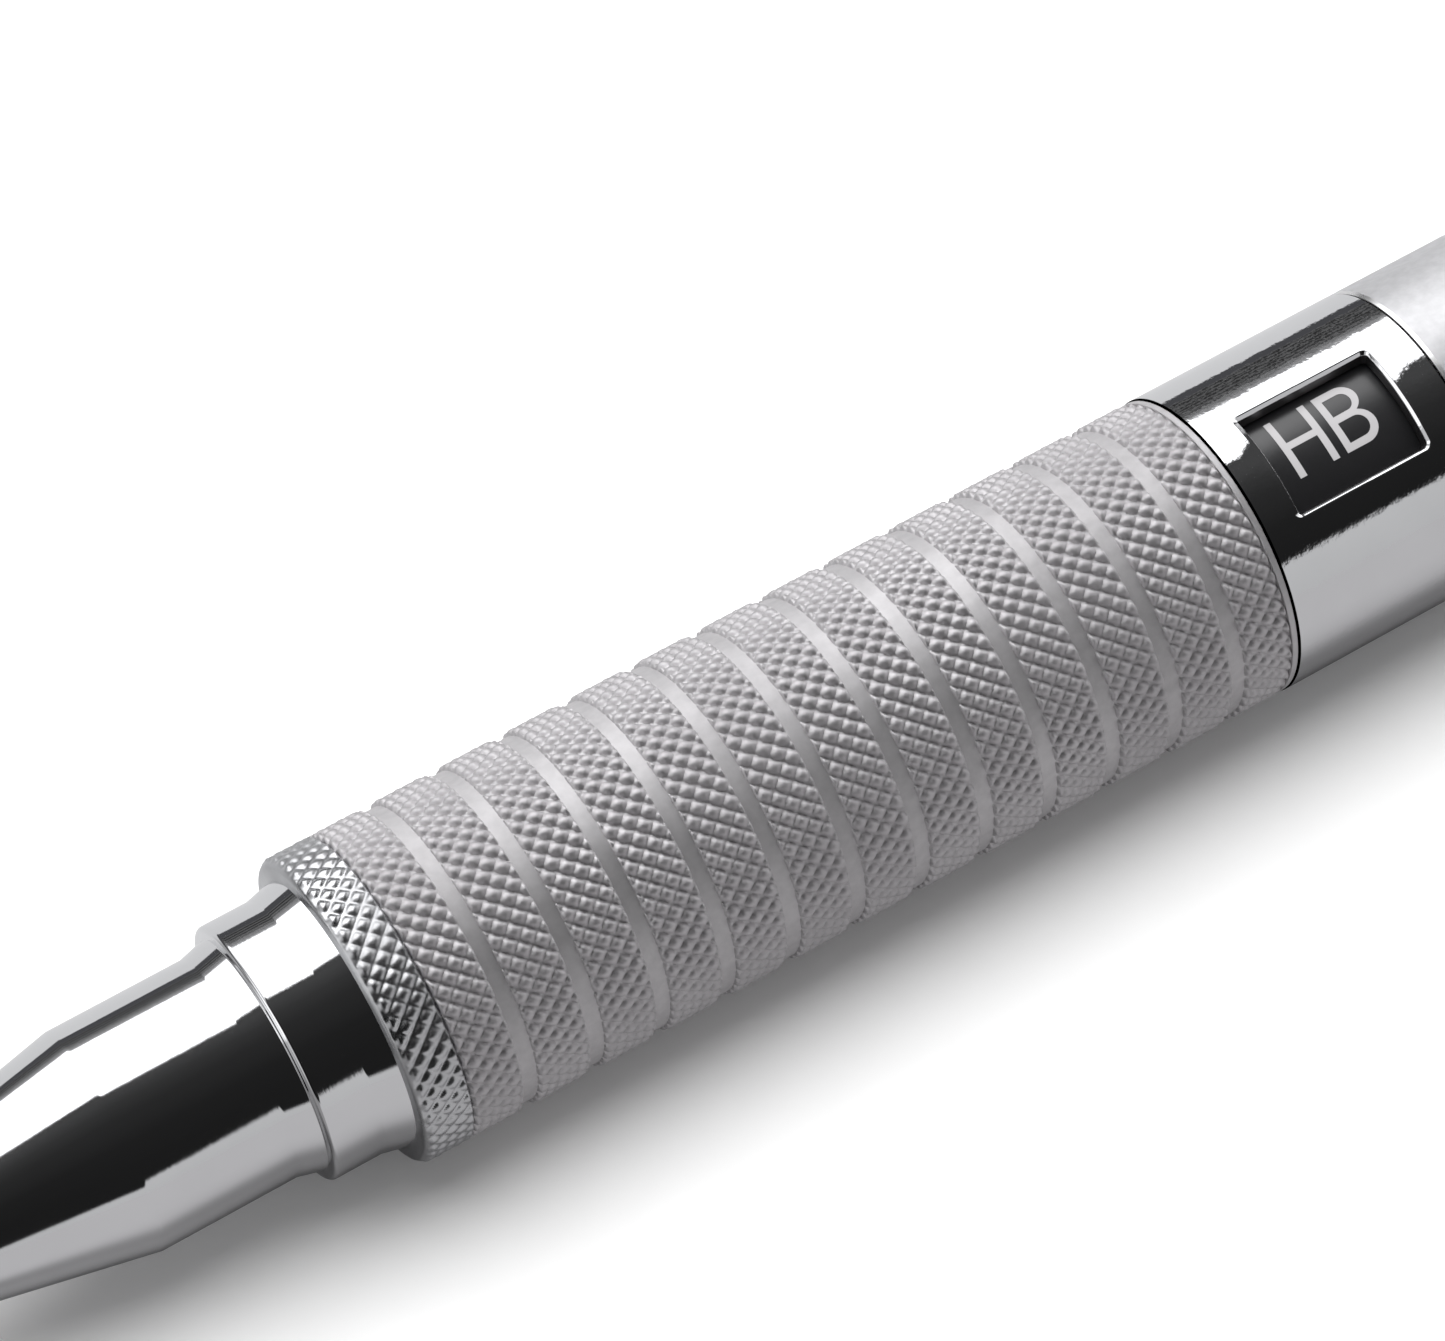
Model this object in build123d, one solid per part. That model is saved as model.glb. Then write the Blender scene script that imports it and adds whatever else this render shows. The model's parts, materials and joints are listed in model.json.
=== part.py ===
from build123d import *
import math
import os

# Drafting pencil, lying along X.  Millimetres.
# Origin: centre of the lead sleeve's front end.  +X runs towards the push cap, +Z is up.
# Every turned piece is a half section of (x, r) points revolved about X.
# X_ names are places along the pencil, _R and _BORE names are radii.

# ---- driving dimensions ----
OVERALL = 144.0          # sleeve tip to the end of the push cap
BODY_R = 4.75            # outside of collar, grip, window ring and barrel
GAP = 0.05               # between neighbouring outside pieces
FINE_EDGE = 0.05         # chamfers
RING_EDGE = 0.06
GRIP_EDGE = 0.08
BARREL_EDGE = 0.10

LEAD_R = 0.28            # 0.5 mm class lead is 0.56 mm across
LEAD_LEN = 60.0
LEAD_OUT = 0.5           # lead showing past the sleeve

SLEEVE_R = 0.45
SLEEVE_BORE = 0.31
SLEEVE_OUT = 4.0         # length of sleeve in front of the nose
SLEEVE_LEN = 9.0
SLEEVE_ROOT_R = 0.65     # thicker root, held in the nose

X_COLLAR = 22.6          # front face of the collar
COLLAR_LEN = 1.5
X_COLLAR_END = X_COLLAR + COLLAR_LEN
SPIGOT_R = 3.10          # nose thread, drawn as a plain cylinder

X_GRIP = X_COLLAR_END + GAP
X_GRIP_END = X_COLLAR + 28.9
CORE_R = 3.70
TAIL_R = 3.15            # core thread into the barrel, drawn plain

X_RING = X_GRIP_END + GAP
X_RING_END = 58.6
DRUM_SEAT_R = 3.30

X_BARREL = X_RING_END + GAP
X_BARREL_END = 131.0
BARREL_BORE = 3.60
TAIL_SEAT_R = 4.40       # reduced rear end of the barrel under the clip ring
X_CLIP_RING = 121.5
X_CLIP_RING_END = X_BARREL_END - GAP

TUBE_R = 1.95
TUBE_BORE = 1.45
X_TUBE = 37.4
X_TUBE_END = 130.0

CAP_R = 3.00


def turned(*points):
    """Solid of revolution about X from a closed half section of (x, r) points."""
    return revolve(make_face(Polyline(*points, close=True)), Axis.X)


def ring(x0, x1, bore, radius):
    """Plain sleeve from x0 to x1."""
    return turned((x0, bore), (x1, bore), (x1, radius), (x0, radius))


def eased_front(x, radius):
    """Points that ease the front outer corner of a cylinder starting at x."""
    return [(x, radius - 0.22), (x + 0.07, radius - 0.07), (x + 0.22, radius)]


def grooves(first, pitch, count, width, slope, top_r, floor_r):
    """Points of a row of sloping-sided grooves; first is the centre of the front one."""
    points = []
    for k in range(count):
        mid = first + pitch * k
        half = width / 2
        points += [
            (mid - half, top_r),
            (mid - half + slope, floor_r),
            (mid + half - slope, floor_r),
            (mid + half, top_r),
        ]
    return points


parts = {}

# ---- tip ----
NOSE_CYL_R = 3.385       # cylinder behind the cone
X_CONE_END = X_COLLAR - 7.45
CONE_SLOPE = 0.205       # radius gained per mm of cone
CONE_FRONT_R = NOSE_CYL_R - CONE_SLOPE * (X_CONE_END - SLEEVE_OUT)
X_STEP = X_COLLAR - 2.43  # step up from the cylinder to the neck
NECK_R = 3.94
X_SPIGOT_END = 31.0
NOSE_BORE = 2.56
NOSE_MID_BORE = 2.05
RETAINER_SEAT_R = 1.30
RETAINER_BORE = LEAD_R + 0.01

parts["lead_sleeve"] = turned(
    (0, SLEEVE_BORE),
    (0, SLEEVE_R - FINE_EDGE),
    (FINE_EDGE, SLEEVE_R),
    (SLEEVE_OUT, SLEEVE_R),
    (SLEEVE_OUT, SLEEVE_ROOT_R),
    (SLEEVE_LEN, SLEEVE_ROOT_R),
    (SLEEVE_LEN, SLEEVE_BORE),
)

parts["nose_cone"] = turned(
    (SLEEVE_OUT, SLEEVE_ROOT_R),
    (SLEEVE_OUT, CONE_FRONT_R - 0.20),
    (SLEEVE_OUT + 0.06, CONE_FRONT_R - 0.06),
    (SLEEVE_OUT + 0.22, CONE_FRONT_R + CONE_SLOPE * 0.22),
    (X_CONE_END, NOSE_CYL_R),
    (X_STEP - 0.42, NOSE_CYL_R),
    (X_STEP - 0.18, NOSE_CYL_R + 0.08),
    (X_STEP, NOSE_CYL_R + 0.27),
    *eased_front(X_STEP, NECK_R),
    (X_COLLAR, NECK_R),
    (X_COLLAR, SPIGOT_R),
    (X_SPIGOT_END, SPIGOT_R),
    # stepped bore, back to front
    (X_SPIGOT_END, NOSE_BORE), (16.6, NOSE_BORE),
    (16.6, NOSE_MID_BORE), (13.25, NOSE_MID_BORE),
    (13.25, RETAINER_SEAT_R), (10.15, RETAINER_SEAT_R),
    (10.15, SLEEVE_ROOT_R),
)

parts["lead_retainer"] = turned(
    (10.2, 0.50), (10.2, 1.05), (10.45, 1.28), (13.0, 1.28), (13.0, 0.45),
    (12.2, RETAINER_BORE), (10.9, RETAINER_BORE),
)

parts["tip_collar"] = turned(
    (X_COLLAR, SPIGOT_R),
    *eased_front(X_COLLAR, BODY_R),
    (X_COLLAR_END - GRIP_EDGE, BODY_R),
    (X_COLLAR_END, BODY_R - GRIP_EDGE),
    (X_COLLAR_END, SPIGOT_R),
)

# ---- grip and the core tube inside it ----
X_TAIL_END = 66.5
TAIL_CHAMFER = 0.3
X_CORE_STEP = 38.0       # the core's bore widens in front of this
CORE_REAR_BORE = 2.10
CORE_MID_BORE = 2.60
X_SOCKET_END = 32.55     # rear end of the socket for the nose spigot

parts["grip_sleeve"] = turned(
    (X_GRIP, CORE_R),
    (X_GRIP, BODY_R - GRIP_EDGE),
    (X_GRIP + GRIP_EDGE, BODY_R),
    *grooves(
        first=X_COLLAR + 3.36, pitch=2.14, count=12,
        width=0.45, slope=0.06, top_r=BODY_R, floor_r=4.60,
    ),
    (X_GRIP_END - GRIP_EDGE, BODY_R),
    (X_GRIP_END, BODY_R - GRIP_EDGE),
    (X_GRIP_END, CORE_R),
)

parts["core_tube"] = turned(
    (X_GRIP, SPIGOT_R),
    (X_GRIP, CORE_R),
    (X_GRIP_END, CORE_R),
    (X_GRIP_END, DRUM_SEAT_R),
    (X_RING_END, DRUM_SEAT_R),
    (X_RING_END, TAIL_R),
    (X_TAIL_END - TAIL_CHAMFER, TAIL_R),
    (X_TAIL_END, TAIL_R - TAIL_CHAMFER),
    (X_TAIL_END, CORE_REAR_BORE),
    (X_CORE_STEP, CORE_REAR_BORE),
    (X_CORE_STEP, CORE_MID_BORE),
    (X_SOCKET_END, CORE_MID_BORE),
    (X_SOCKET_END, SPIGOT_R),
)

# ---- clutch: ring, three jaws, chuck stem, sleeve and spring ----
JAW_BORE = LEAD_R + 0.02
X_JAW_END = 24.44
STEM_R = 1.20
STEM_BORE = 0.60
X_STEM_END = 36.0
SLIT_W = 0.20
SLIT_LEN = 12.0          # longer than the jaws
SLIT_DEPTH = 3.0         # outwards from the axis
X_SPRING, X_SPRING_END = 25.0, 33.0
SPRING_R = 1.76          # axis to the centre of the wire
SPRING_TURNS = 8.5
WIRE_R = 0.15
SPRING_PLAY = 0.01       # at each end
GUIDE_BORE = 1.55        # clutch sleeve in front of the spring

parts["clutch_ring"] = turned(
    (17.3, 1.78), (17.3, 2.38), (17.4, 2.48), (19.9, 2.48),
    (20.0, 2.38), (20.0, 1.45), (18.9, 1.45),
)

jaws = turned(
    (16.0, JAW_BORE), (16.0, 1.45), (16.25, 1.70), (17.25, 1.72), (18.85, 1.38),
    (19.15, STEM_R), (X_JAW_END, STEM_R), (X_JAW_END, STEM_BORE),
    (19.0, STEM_BORE), (18.6, JAW_BORE),
)
for k in range(3):
    blade = Pos(20.0, 0, SLIT_DEPTH / 2) * Box(SLIT_LEN, SLIT_W, SLIT_DEPTH)
    jaws -= Rot(120 * k, 0, 0) * blade
# Turning from +Z towards -Y, the slits stand at 0, 120 and 240 degrees,
# so jaws a, b and c are centred at 60, 180 and 300.
for jaw in jaws.solids():
    middle = jaw.center()
    angle = math.degrees(math.atan2(-middle.Y, middle.Z)) % 360
    parts["chuck_jaw_" + "abc"[int(angle // 120)]] = jaw

parts["chuck_stem"] = ring(24.5, X_STEM_END, STEM_BORE, STEM_R)

parts["clutch_sleeve"] = turned(
    (20.05, GUIDE_BORE), (20.05, 2.44), (20.15, 2.54), (X_SPIGOT_END, 2.54),
    (X_SPIGOT_END, 3.05), (32.5, 3.05), (32.5, 2.56), (37.95, 2.56),
    (37.95, 2.05), (X_SPRING, 2.05), (X_SPRING, GUIDE_BORE),
)

coil_len = X_SPRING_END - X_SPRING - 2 * (WIRE_R + SPRING_PLAY)
coil = Helix(
    pitch=coil_len / SPRING_TURNS,
    height=coil_len,
    radius=SPRING_R,
    center=(X_SPRING + WIRE_R + SPRING_PLAY, 0, 0),
    direction=(1, 0, 0),
)
wire_section = Plane(origin=coil @ 0, z_dir=coil % 0) * Circle(WIRE_R)
parts["return_spring"] = sweep(wire_section, path=coil, is_frenet=True)

# joins the stem to the lead tube; its bore funnels down towards the stem
parts["chuck_connector"] = turned(
    (X_SPRING_END, STEM_R), (X_SPRING_END, 1.89), (33.08, 1.97), (X_TUBE, 1.97),
    (X_TUBE, TUBE_BORE), (43.0, TUBE_BORE), (43.0, 1.15), (37.6, STEM_BORE),
    (X_STEM_END, STEM_BORE), (X_STEM_END, STEM_R),
)

# ---- lead and its reservoir ----
X_LEAD_END = LEAD_LEN - LEAD_OUT
X_SPARE = 45.0           # front end of the first spare lead
SPARE_STAGGER = 2.5      # each further one starts this much further back
SPARE_OFF_AXIS = 0.86
SPARE_ANGLES = (-90, -35, -150)  # degrees from +Y towards +Z

parts["lead_tube"] = ring(X_TUBE, X_TUBE_END, TUBE_BORE, TUBE_R)

parts["lead"] = turned(
    (-LEAD_OUT, 0),
    (-LEAD_OUT, LEAD_R - FINE_EDGE),
    (-LEAD_OUT + FINE_EDGE, LEAD_R),
    (X_LEAD_END, LEAD_R),
    (X_LEAD_END, 0),
)

stick = Rot(0, 90, 0) * Cylinder(LEAD_R, LEAD_LEN)
spares = []
for k, degrees in enumerate(SPARE_ANGLES):
    angle = math.radians(degrees)
    spares.append(
        Pos(
            X_SPARE + SPARE_STAGGER * k + LEAD_LEN / 2,
            SPARE_OFF_AXIS * math.cos(angle),
            SPARE_OFF_AXIS * math.sin(angle),
        )
        * stick
    )
parts["spare_leads"] = Compound(children=spares)

# ---- lead grade indicator: drum, friction ring and window ring ----
DRUM_R = 4.12
X_SLOT, X_SLOT_END = 57.6, 58.2  # slot round the drum for the friction ring
SLOT_FLOOR_R = 3.64
FRICTION_MID_R = 3.915   # axis to the centre of its round section
FRICTION_SECTION_R = 0.265
RING_BORE = 4.20
X_WINDOW = X_COLLAR + 30.14
X_WINDOW_END = X_COLLAR + 34.59
WINDOW_W = 3.48          # across the axis
WINDOW_CORNER_R = 0.40
WINDOW_TILT = 11.2       # window centre, degrees from +Z towards -Y
WINDOW_CUT = 6.0         # from the axis, past the outside

parts["grade_drum"] = turned(
    (X_RING, DRUM_SEAT_R),
    (X_RING, DRUM_R - FINE_EDGE),
    (X_RING + FINE_EDGE, DRUM_R),
    (X_SLOT, DRUM_R),
    (X_SLOT, SLOT_FLOOR_R),
    (X_SLOT_END, SLOT_FLOOR_R),
    (X_SLOT_END, DRUM_R),
    (X_RING_END - FINE_EDGE, DRUM_R),
    (X_RING_END, DRUM_R - FINE_EDGE),
    (X_RING_END, DRUM_SEAT_R),
)

friction_plane = Plane(
    origin=((X_SLOT + X_SLOT_END) / 2, 0, FRICTION_MID_R), x_dir=(1, 0, 0), z_dir=(0, -1, 0)
)
parts["friction_ring"] = revolve(friction_plane * Circle(FRICTION_SECTION_R), Axis.X)

window_ring = turned(
    (X_RING, RING_BORE),
    (X_RING, BODY_R - RING_EDGE),
    (X_RING + RING_EDGE, BODY_R),
    (X_RING_END - RING_EDGE, BODY_R),
    (X_RING_END, BODY_R - RING_EDGE),
    (X_RING_END, RING_BORE),
)
opening = extrude(
    RectangleRounded(X_WINDOW_END - X_WINDOW, WINDOW_W, WINDOW_CORNER_R), WINDOW_CUT
)
window_ring -= Rot(WINDOW_TILT, 0, 0) * Pos((X_WINDOW + X_WINDOW_END) / 2, 0, 0) * opening
parts["window_ring"] = window_ring

# ---- barrel and its ends ----
X_INSERT, X_INSERT_END = 59.2, 66.8
X_BUSH = 123.0
X_CAP_WELL = 125.4       # front of the bush's wide bore, where the cap slides
CAP_WELL_R = CAP_R + 0.08
BUSH_BORE = 2.05
BUSH_CHAMFER = 0.2
X_BUSH_END = X_BARREL_END + 1.2

parts["barrel"] = turned(
    (X_BARREL, BARREL_BORE),
    (X_BARREL, BODY_R - BARREL_EDGE),
    (X_BARREL + BARREL_EDGE, BODY_R),
    (X_CLIP_RING - GAP, BODY_R),
    (X_CLIP_RING - GAP, TAIL_SEAT_R),
    (X_BARREL_END, TAIL_SEAT_R),
    (X_BARREL_END, BARREL_BORE),
)

parts["barrel_insert"] = turned(
    (X_INSERT, TAIL_R), (X_INSERT, BARREL_BORE),
    (X_INSERT_END, BARREL_BORE), (X_INSERT_END, TAIL_R),
)

parts["rear_bush"] = turned(
    (X_BUSH, BUSH_BORE),
    (X_BUSH, BARREL_BORE - BUSH_CHAMFER),
    (X_BUSH + BUSH_CHAMFER, BARREL_BORE),
    (X_BARREL_END, BARREL_BORE),
    (X_BARREL_END, BODY_R),
    (X_BUSH_END - 0.45, BODY_R),
    (X_BUSH_END, BODY_R - 0.45),
    (X_BUSH_END, CAP_WELL_R + 0.2),
    (X_BUSH_END - 0.2, CAP_WELL_R),
    (X_CAP_WELL, CAP_WELL_R),
    (X_CAP_WELL, BUSH_BORE),
)

# ---- push cap, eraser and holder ----
X_ERASER = 131.0
ERASER_R = 2.05
HOLDER_R = 2.40
HOLDER_PLUG_BORE = 1.05  # front part, plugged into the lead tube
X_CAP = 128.6
CAP_BORE = 2.50
X_CAP_FLOOR = 142.6      # inner face of the closed rear end

parts["eraser_holder"] = turned(
    (126.0, HOLDER_PLUG_BORE), (126.0, TUBE_BORE), (X_TUBE_END, TUBE_BORE),
    (X_TUBE_END, HOLDER_R), (133.5, HOLDER_R), (133.65, 2.48), (133.95, 2.48),
    (134.1, HOLDER_R), (137.0, HOLDER_R), (137.0, ERASER_R), (X_ERASER, ERASER_R),
    (X_ERASER, 0), (X_TUBE_END, 0), (X_TUBE_END, HOLDER_PLUG_BORE),
)

parts["eraser"] = turned(
    (X_ERASER, 0), (X_ERASER, ERASER_R), (141.0, ERASER_R),
    (141.4, 1.90), (141.6, 1.55), (141.6, 0),
)

parts["push_cap"] = turned(
    (X_CAP, CAP_BORE),
    (X_CAP, CAP_R - 0.12),
    (X_CAP + 0.12, CAP_R),
    *grooves(
        first=137.6, pitch=1.1, count=4,
        width=0.4, slope=0.08, top_r=CAP_R, floor_r=CAP_R - 0.14,
    ),
    (OVERALL - 0.55, CAP_R),
    (OVERALL - 0.16, CAP_R - 0.16),
    (OVERALL, CAP_R - 0.55),
    (OVERALL, 0),
    (X_CAP_FLOOR, 0),
    (X_CAP_FLOOR, CAP_BORE),
)

# ---- clip ----
CLIP_DOWN = 27.4         # clip direction, degrees below -Y
CLIP_W = 3.2
CLIP_T = 0.6
CLIP_R = 7.2             # outside of the clip arm, from the axis
CLIP_INNER_R = CLIP_R - CLIP_T

parts["clip_ring"] = turned(
    (X_CLIP_RING, TAIL_SEAT_R),
    (X_CLIP_RING, BODY_R - RING_EDGE),
    (X_CLIP_RING + RING_EDGE, BODY_R),
    (X_CLIP_RING_END, BODY_R),
    (X_CLIP_RING_END, TAIL_SEAT_R),
)

# side profile: x, distance out from the axis
CLIP_SIDE = [
    # rear foot and outer face, running forward
    (129.5, BODY_R + 0.05), (129.5, CLIP_R - 0.7), (129.2, CLIP_R - 0.2),
    (128.6, CLIP_R), (93.0, CLIP_R), (90.6, CLIP_R - 0.55),
    # dip towards the barrel and upturned free end
    (88.4, BODY_R + 1.15), (87.5, BODY_R + 0.85), (86.4, BODY_R + 1.05),
    (85.0, BODY_R + 1.75), (84.6, BODY_R + 1.35), (86.2, BODY_R + 0.42),
    (87.4, BODY_R + 0.06), (88.6, BODY_R + 0.42),
    # inner face, running back to the foot
    (91.0, CLIP_INNER_R - 0.55), (93.2, CLIP_INNER_R), (126.3, CLIP_INNER_R),
    (126.7, CLIP_INNER_R - 0.3), (126.8, BODY_R + 0.05),
]
# plan: x, offset across the clip; it narrows towards the free end
CLIP_PLAN = [
    (130.0, -CLIP_W / 2), (130.0, CLIP_W / 2), (126.0, CLIP_W / 2), (86.5, 1.2),
    (84.0, 0.7), (84.0, -0.7), (86.5, -1.2), (126.0, -CLIP_W / 2),
]
arm = extrude(make_face(Polyline(*CLIP_SIDE, close=True)), CLIP_W / 2, both=True)
plan = extrude(make_face(Polyline(*CLIP_PLAN, close=True)), 10, both=True)
# the side profile lies in XY, so the plan is turned to lie in XZ
arm = arm & (Rot(90, 0, 0) * plan)
# the profile's +Y is turned to point below -Y
parts["pocket_clip"] = Rot(180 + CLIP_DOWN, 0, 0) * arm

os.makedirs("parts", exist_ok=True)
for name, shape in parts.items():
    export_step(shape, f"parts/{name}.step")
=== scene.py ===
"""A mechanical drafting pencil lying along X over a paper floor.

The lead sleeve's open end is at x = 0 and the push cap is at the +X end; +Z is up. Sizes are in
millimetres, and meshes are scaled to metres as they are made. The grade window in the ring
between grip and barrel faces up and a little towards -Y.
"""
import json
import math

import bmesh
import bpy
import numpy as np
from mathutils import Matrix, Vector


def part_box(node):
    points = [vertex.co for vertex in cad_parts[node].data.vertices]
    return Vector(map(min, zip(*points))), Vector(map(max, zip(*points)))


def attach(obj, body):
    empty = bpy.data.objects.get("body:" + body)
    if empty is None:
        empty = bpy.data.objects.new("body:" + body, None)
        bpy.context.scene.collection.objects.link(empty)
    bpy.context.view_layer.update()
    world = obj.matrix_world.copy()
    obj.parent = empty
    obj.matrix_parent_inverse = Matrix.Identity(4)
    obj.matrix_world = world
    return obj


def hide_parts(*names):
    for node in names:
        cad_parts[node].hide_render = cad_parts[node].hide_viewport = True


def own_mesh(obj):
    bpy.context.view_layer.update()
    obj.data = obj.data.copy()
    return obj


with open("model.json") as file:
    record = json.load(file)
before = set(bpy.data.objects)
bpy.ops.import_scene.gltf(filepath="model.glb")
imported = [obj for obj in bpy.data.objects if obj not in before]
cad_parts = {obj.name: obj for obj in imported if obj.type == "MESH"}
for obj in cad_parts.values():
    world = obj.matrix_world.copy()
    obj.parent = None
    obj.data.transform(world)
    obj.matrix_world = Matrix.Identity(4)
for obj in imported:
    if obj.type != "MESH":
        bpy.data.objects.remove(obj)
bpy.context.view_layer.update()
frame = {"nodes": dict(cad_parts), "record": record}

MM = 0.001


def low_x(node):
    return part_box(node)[0].x / MM


def high_x(node):
    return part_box(node)[1].x / MM


def outer_radius(node):
    """Outside radius of a turned node."""
    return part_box(node)[1].y / MM


# ---- driving dimensions ----------------------------------------------------------------
BODY_R = outer_radius("tip_collar")
DRUM_R = outer_radius("grade_drum")
NECK_R = outer_radius("nose_cone")
X_COLLAR = low_x("tip_collar")
X_GRIP, X_GRIP_END = low_x("grip_sleeve"), high_x("grip_sleeve")
X_RING, X_RING_END = low_x("window_ring"), high_x("window_ring")
X_BARREL, X_BARREL_END = low_x("barrel"), high_x("barrel")
X_NOSE, X_NOSE_END = low_x("nose_cone"), high_x("nose_cone")

NOSE_CYL_R = 3.385
CONE_SLOPE = 0.205  # radius lost per mm towards the tip
SPIGOT_R = 3.10

# grip: bands of knurl between plain grooves
GROOVES = 12
GROOVE_FIRST = X_COLLAR + 3.36
GROOVE_PITCH = 2.14
GROOVE_W = 0.45
GROOVE_R = 4.60
CORE_R = 3.70
BAND_BORE = 4.35
X_KNURL_END = X_GRIP_END - 0.17

# knurl: two crossed sets of helical grooves
KNURL_AROUND = 51
COLLAR_AROUND = 53
KNURL_PITCH = 0.617
KNURL_STEPS = 12  # mesh cells per diamond
KNURL_DEPTH = 0.142
# where the lattice starts: (x, angle)
GRIP_PHASE = (X_COLLAR + 0.362, math.radians(-0.5))
COLLAR_PHASE = (X_COLLAR + 0.23, math.radians(-5.2))

# window, measured along X and along the arc s on the ring's outside
WIN_X = X_COLLAR + 32.38
WIN_HALF_X = 2.250
WIN_HALF_S = 1.7425
WIN_CORNER = 0.15
WIN_TILT = math.radians(11.40)  # from +Z towards -Y
RING_BORE = 4.20
RING_BEVEL = 0.045
PATCH_HALF_S = 2.9  # half height of the finely meshed patch round the window


# ---- mesh helpers ----------------------------------------------------------------------
def new_object(name, verts, faces, loop_normals=None):
    mesh = bpy.data.meshes.new(name)
    mesh.from_pydata([tuple(v) for v in np.asarray(verts, float) * MM], [], faces)
    mesh.validate(clean_customdata=False)
    mesh.update()
    mesh.shade_smooth()
    # validation may have dropped faces, and then the normals no longer match the corners
    if loop_normals is not None and len(loop_normals) == len(mesh.loops):
        mesh.normals_split_custom_set([tuple(n) for n in loop_normals])
    ob = bpy.data.objects.new(name, mesh)
    bpy.context.scene.collection.objects.link(ob)
    return ob


def fillet_points(corner, before, cut, fillet, turn, steps):
    """(point, normal) pairs along the arc that rounds a corner."""
    normal = np.array([-before[1], before[0]])
    sign = 1.0 if turn < 0 else -1.0
    centre = corner - before * cut - sign * normal * fillet
    count = max(2, int(math.ceil(abs(turn) / math.radians(90) * steps)))
    pairs = []
    for j in range(count + 1):
        c, s = math.cos(turn * j / count), math.sin(turn * j / count)
        n = np.array([normal[0] * c - normal[1] * s, normal[0] * s + normal[1] * c])
        pairs.append((centre + sign * n * fillet, n))
    return pairs


def rounded_profile(profile, steps):
    """Segments (p0, n0, p1, n1) of a closed half section of (x, radius, fillet) corners.

    The section is walked with the outside on the left. The normals are exact, so straight
    runs shade straight and corners shade round."""
    corners = [np.array(p[:2], float) for p in profile]
    count = len(corners)
    runs = [corners[(i + 1) % count] - corners[i] for i in range(count)]
    lengths = [np.hypot(*run) for run in runs]
    ways = [run / length for run, length in zip(runs, lengths)]
    bends = []
    for i, entry in enumerate(profile):
        before, after = ways[i - 1], ways[i]
        cross = before[0] * after[1] - before[1] * after[0]
        turn = math.atan2(cross, float(before @ after))
        fillet = entry[2] if len(entry) > 2 else 0.0
        bent = fillet > 0 and abs(turn) > 1e-4
        cut = fillet * math.tan(abs(turn) / 2) if bent else 0.0
        cut = min(cut, 0.48 * lengths[i - 1], 0.48 * lengths[i])
        if cut > 0:
            fillet = cut / math.tan(abs(turn) / 2)
        bends.append((cut, fillet, turn))
    segments = []
    for i in range(count):
        cut, fillet, turn = bends[i]
        if cut > 0:
            arc = fillet_points(corners[i], ways[i - 1], cut, fillet, turn, steps)
            segments += [(*a, *b) for a, b in zip(arc[:-1], arc[1:])]
        following = (i + 1) % count
        start = corners[i] + ways[i] * cut
        end = corners[following] - ways[i] * bends[following][0]
        if np.hypot(*(end - start)) > 1e-7:
            normal = np.array([-ways[i][1], ways[i][0]])
            segments.append((start, normal, end, normal))
    return segments


def lathe(name, profile, segments, steps):
    """Solid turned about X from a closed half section of (x, radius, fillet) corners."""
    angles = np.linspace(0, 2 * math.pi, segments, endpoint=False)
    cosines, sines = np.cos(angles), np.sin(angles)
    verts, faces, normals = [], [], []
    rings = {}

    def swing(v, j):
        return (v[0], v[1] * cosines[j], v[1] * sines[j])

    def ring(p):
        """First index and point count of the ring through p; one point if p is on the axis."""
        key = (round(p[0], 6), round(p[1], 6))
        if key not in rings:
            first = len(verts)
            if p[1] < 1e-6:
                verts.append((p[0], 0.0, 0.0))
            else:
                verts.extend(swing(p, j) for j in range(segments))
            rings[key] = (first, len(verts) - first)
        return rings[key]

    for p0, n0, p1, n1 in rounded_profile(profile, steps):
        if p0[1] < 1e-6 and p1[1] < 1e-6:
            continue
        a, a_count = ring(p0)
        b, b_count = ring(p1)
        for j in range(segments):
            k = (j + 1) % segments
            n0j, n0k, n1j, n1k = swing(n0, j), swing(n0, k), swing(n1, j), swing(n1, k)
            if a_count == 1:
                faces.append((a, b + k, b + j))
                normals += [(n0[0], 0, 0) if abs(n0[0]) > 0.5 else n1j, n1k, n1j]
            elif b_count == 1:
                faces.append((a + j, a + k, b))
                normals += [n0j, n0k, (n1[0], 0, 0) if abs(n1[0]) > 0.5 else n0j]
            else:
                faces.append((a + j, a + k, b + k, b + j))
                normals += [n0j, n0k, n1k, n1j]
    return new_object(name, verts, faces, normals)


def tube_faces(rings, sides):
    """Faces of a capped tube whose points are stored ring by ring."""
    faces = []
    for i in range(rings - 1):
        a, b = i * sides, (i + 1) * sides
        for j in range(sides):
            k = (j + 1) % sides
            faces.append((a + j, a + k, b + k, b + j))
    faces.append(tuple(reversed(range(sides))))
    faces.append(tuple((rings - 1) * sides + j for j in range(sides)))
    return faces


# ---- knurl -----------------------------------------------------------------------------
# profiles across one groove set: distance from the crown's middle to the groove's bottom as
# 0 to 1, and the height there
CROWN_PLACES = [0.0, 0.17, 0.33, 0.50, 0.67, 0.83, 1.0]
DOME = [1.0, 0.985, 0.94, 0.84, 0.60, 0.27, 0.0]
WORN = [1.0, 0.985, 0.94, 0.80, 0.50, 0.20, 0.0]


def groove_set(turns, heights, cut):
    """Height left by one set of grooves; cut says how deep it goes."""
    place = np.abs(2 * (turns - np.floor(turns)) - 1)
    return 1 - cut * (1 - np.interp(place, CROWN_PLACES, heights))


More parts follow.
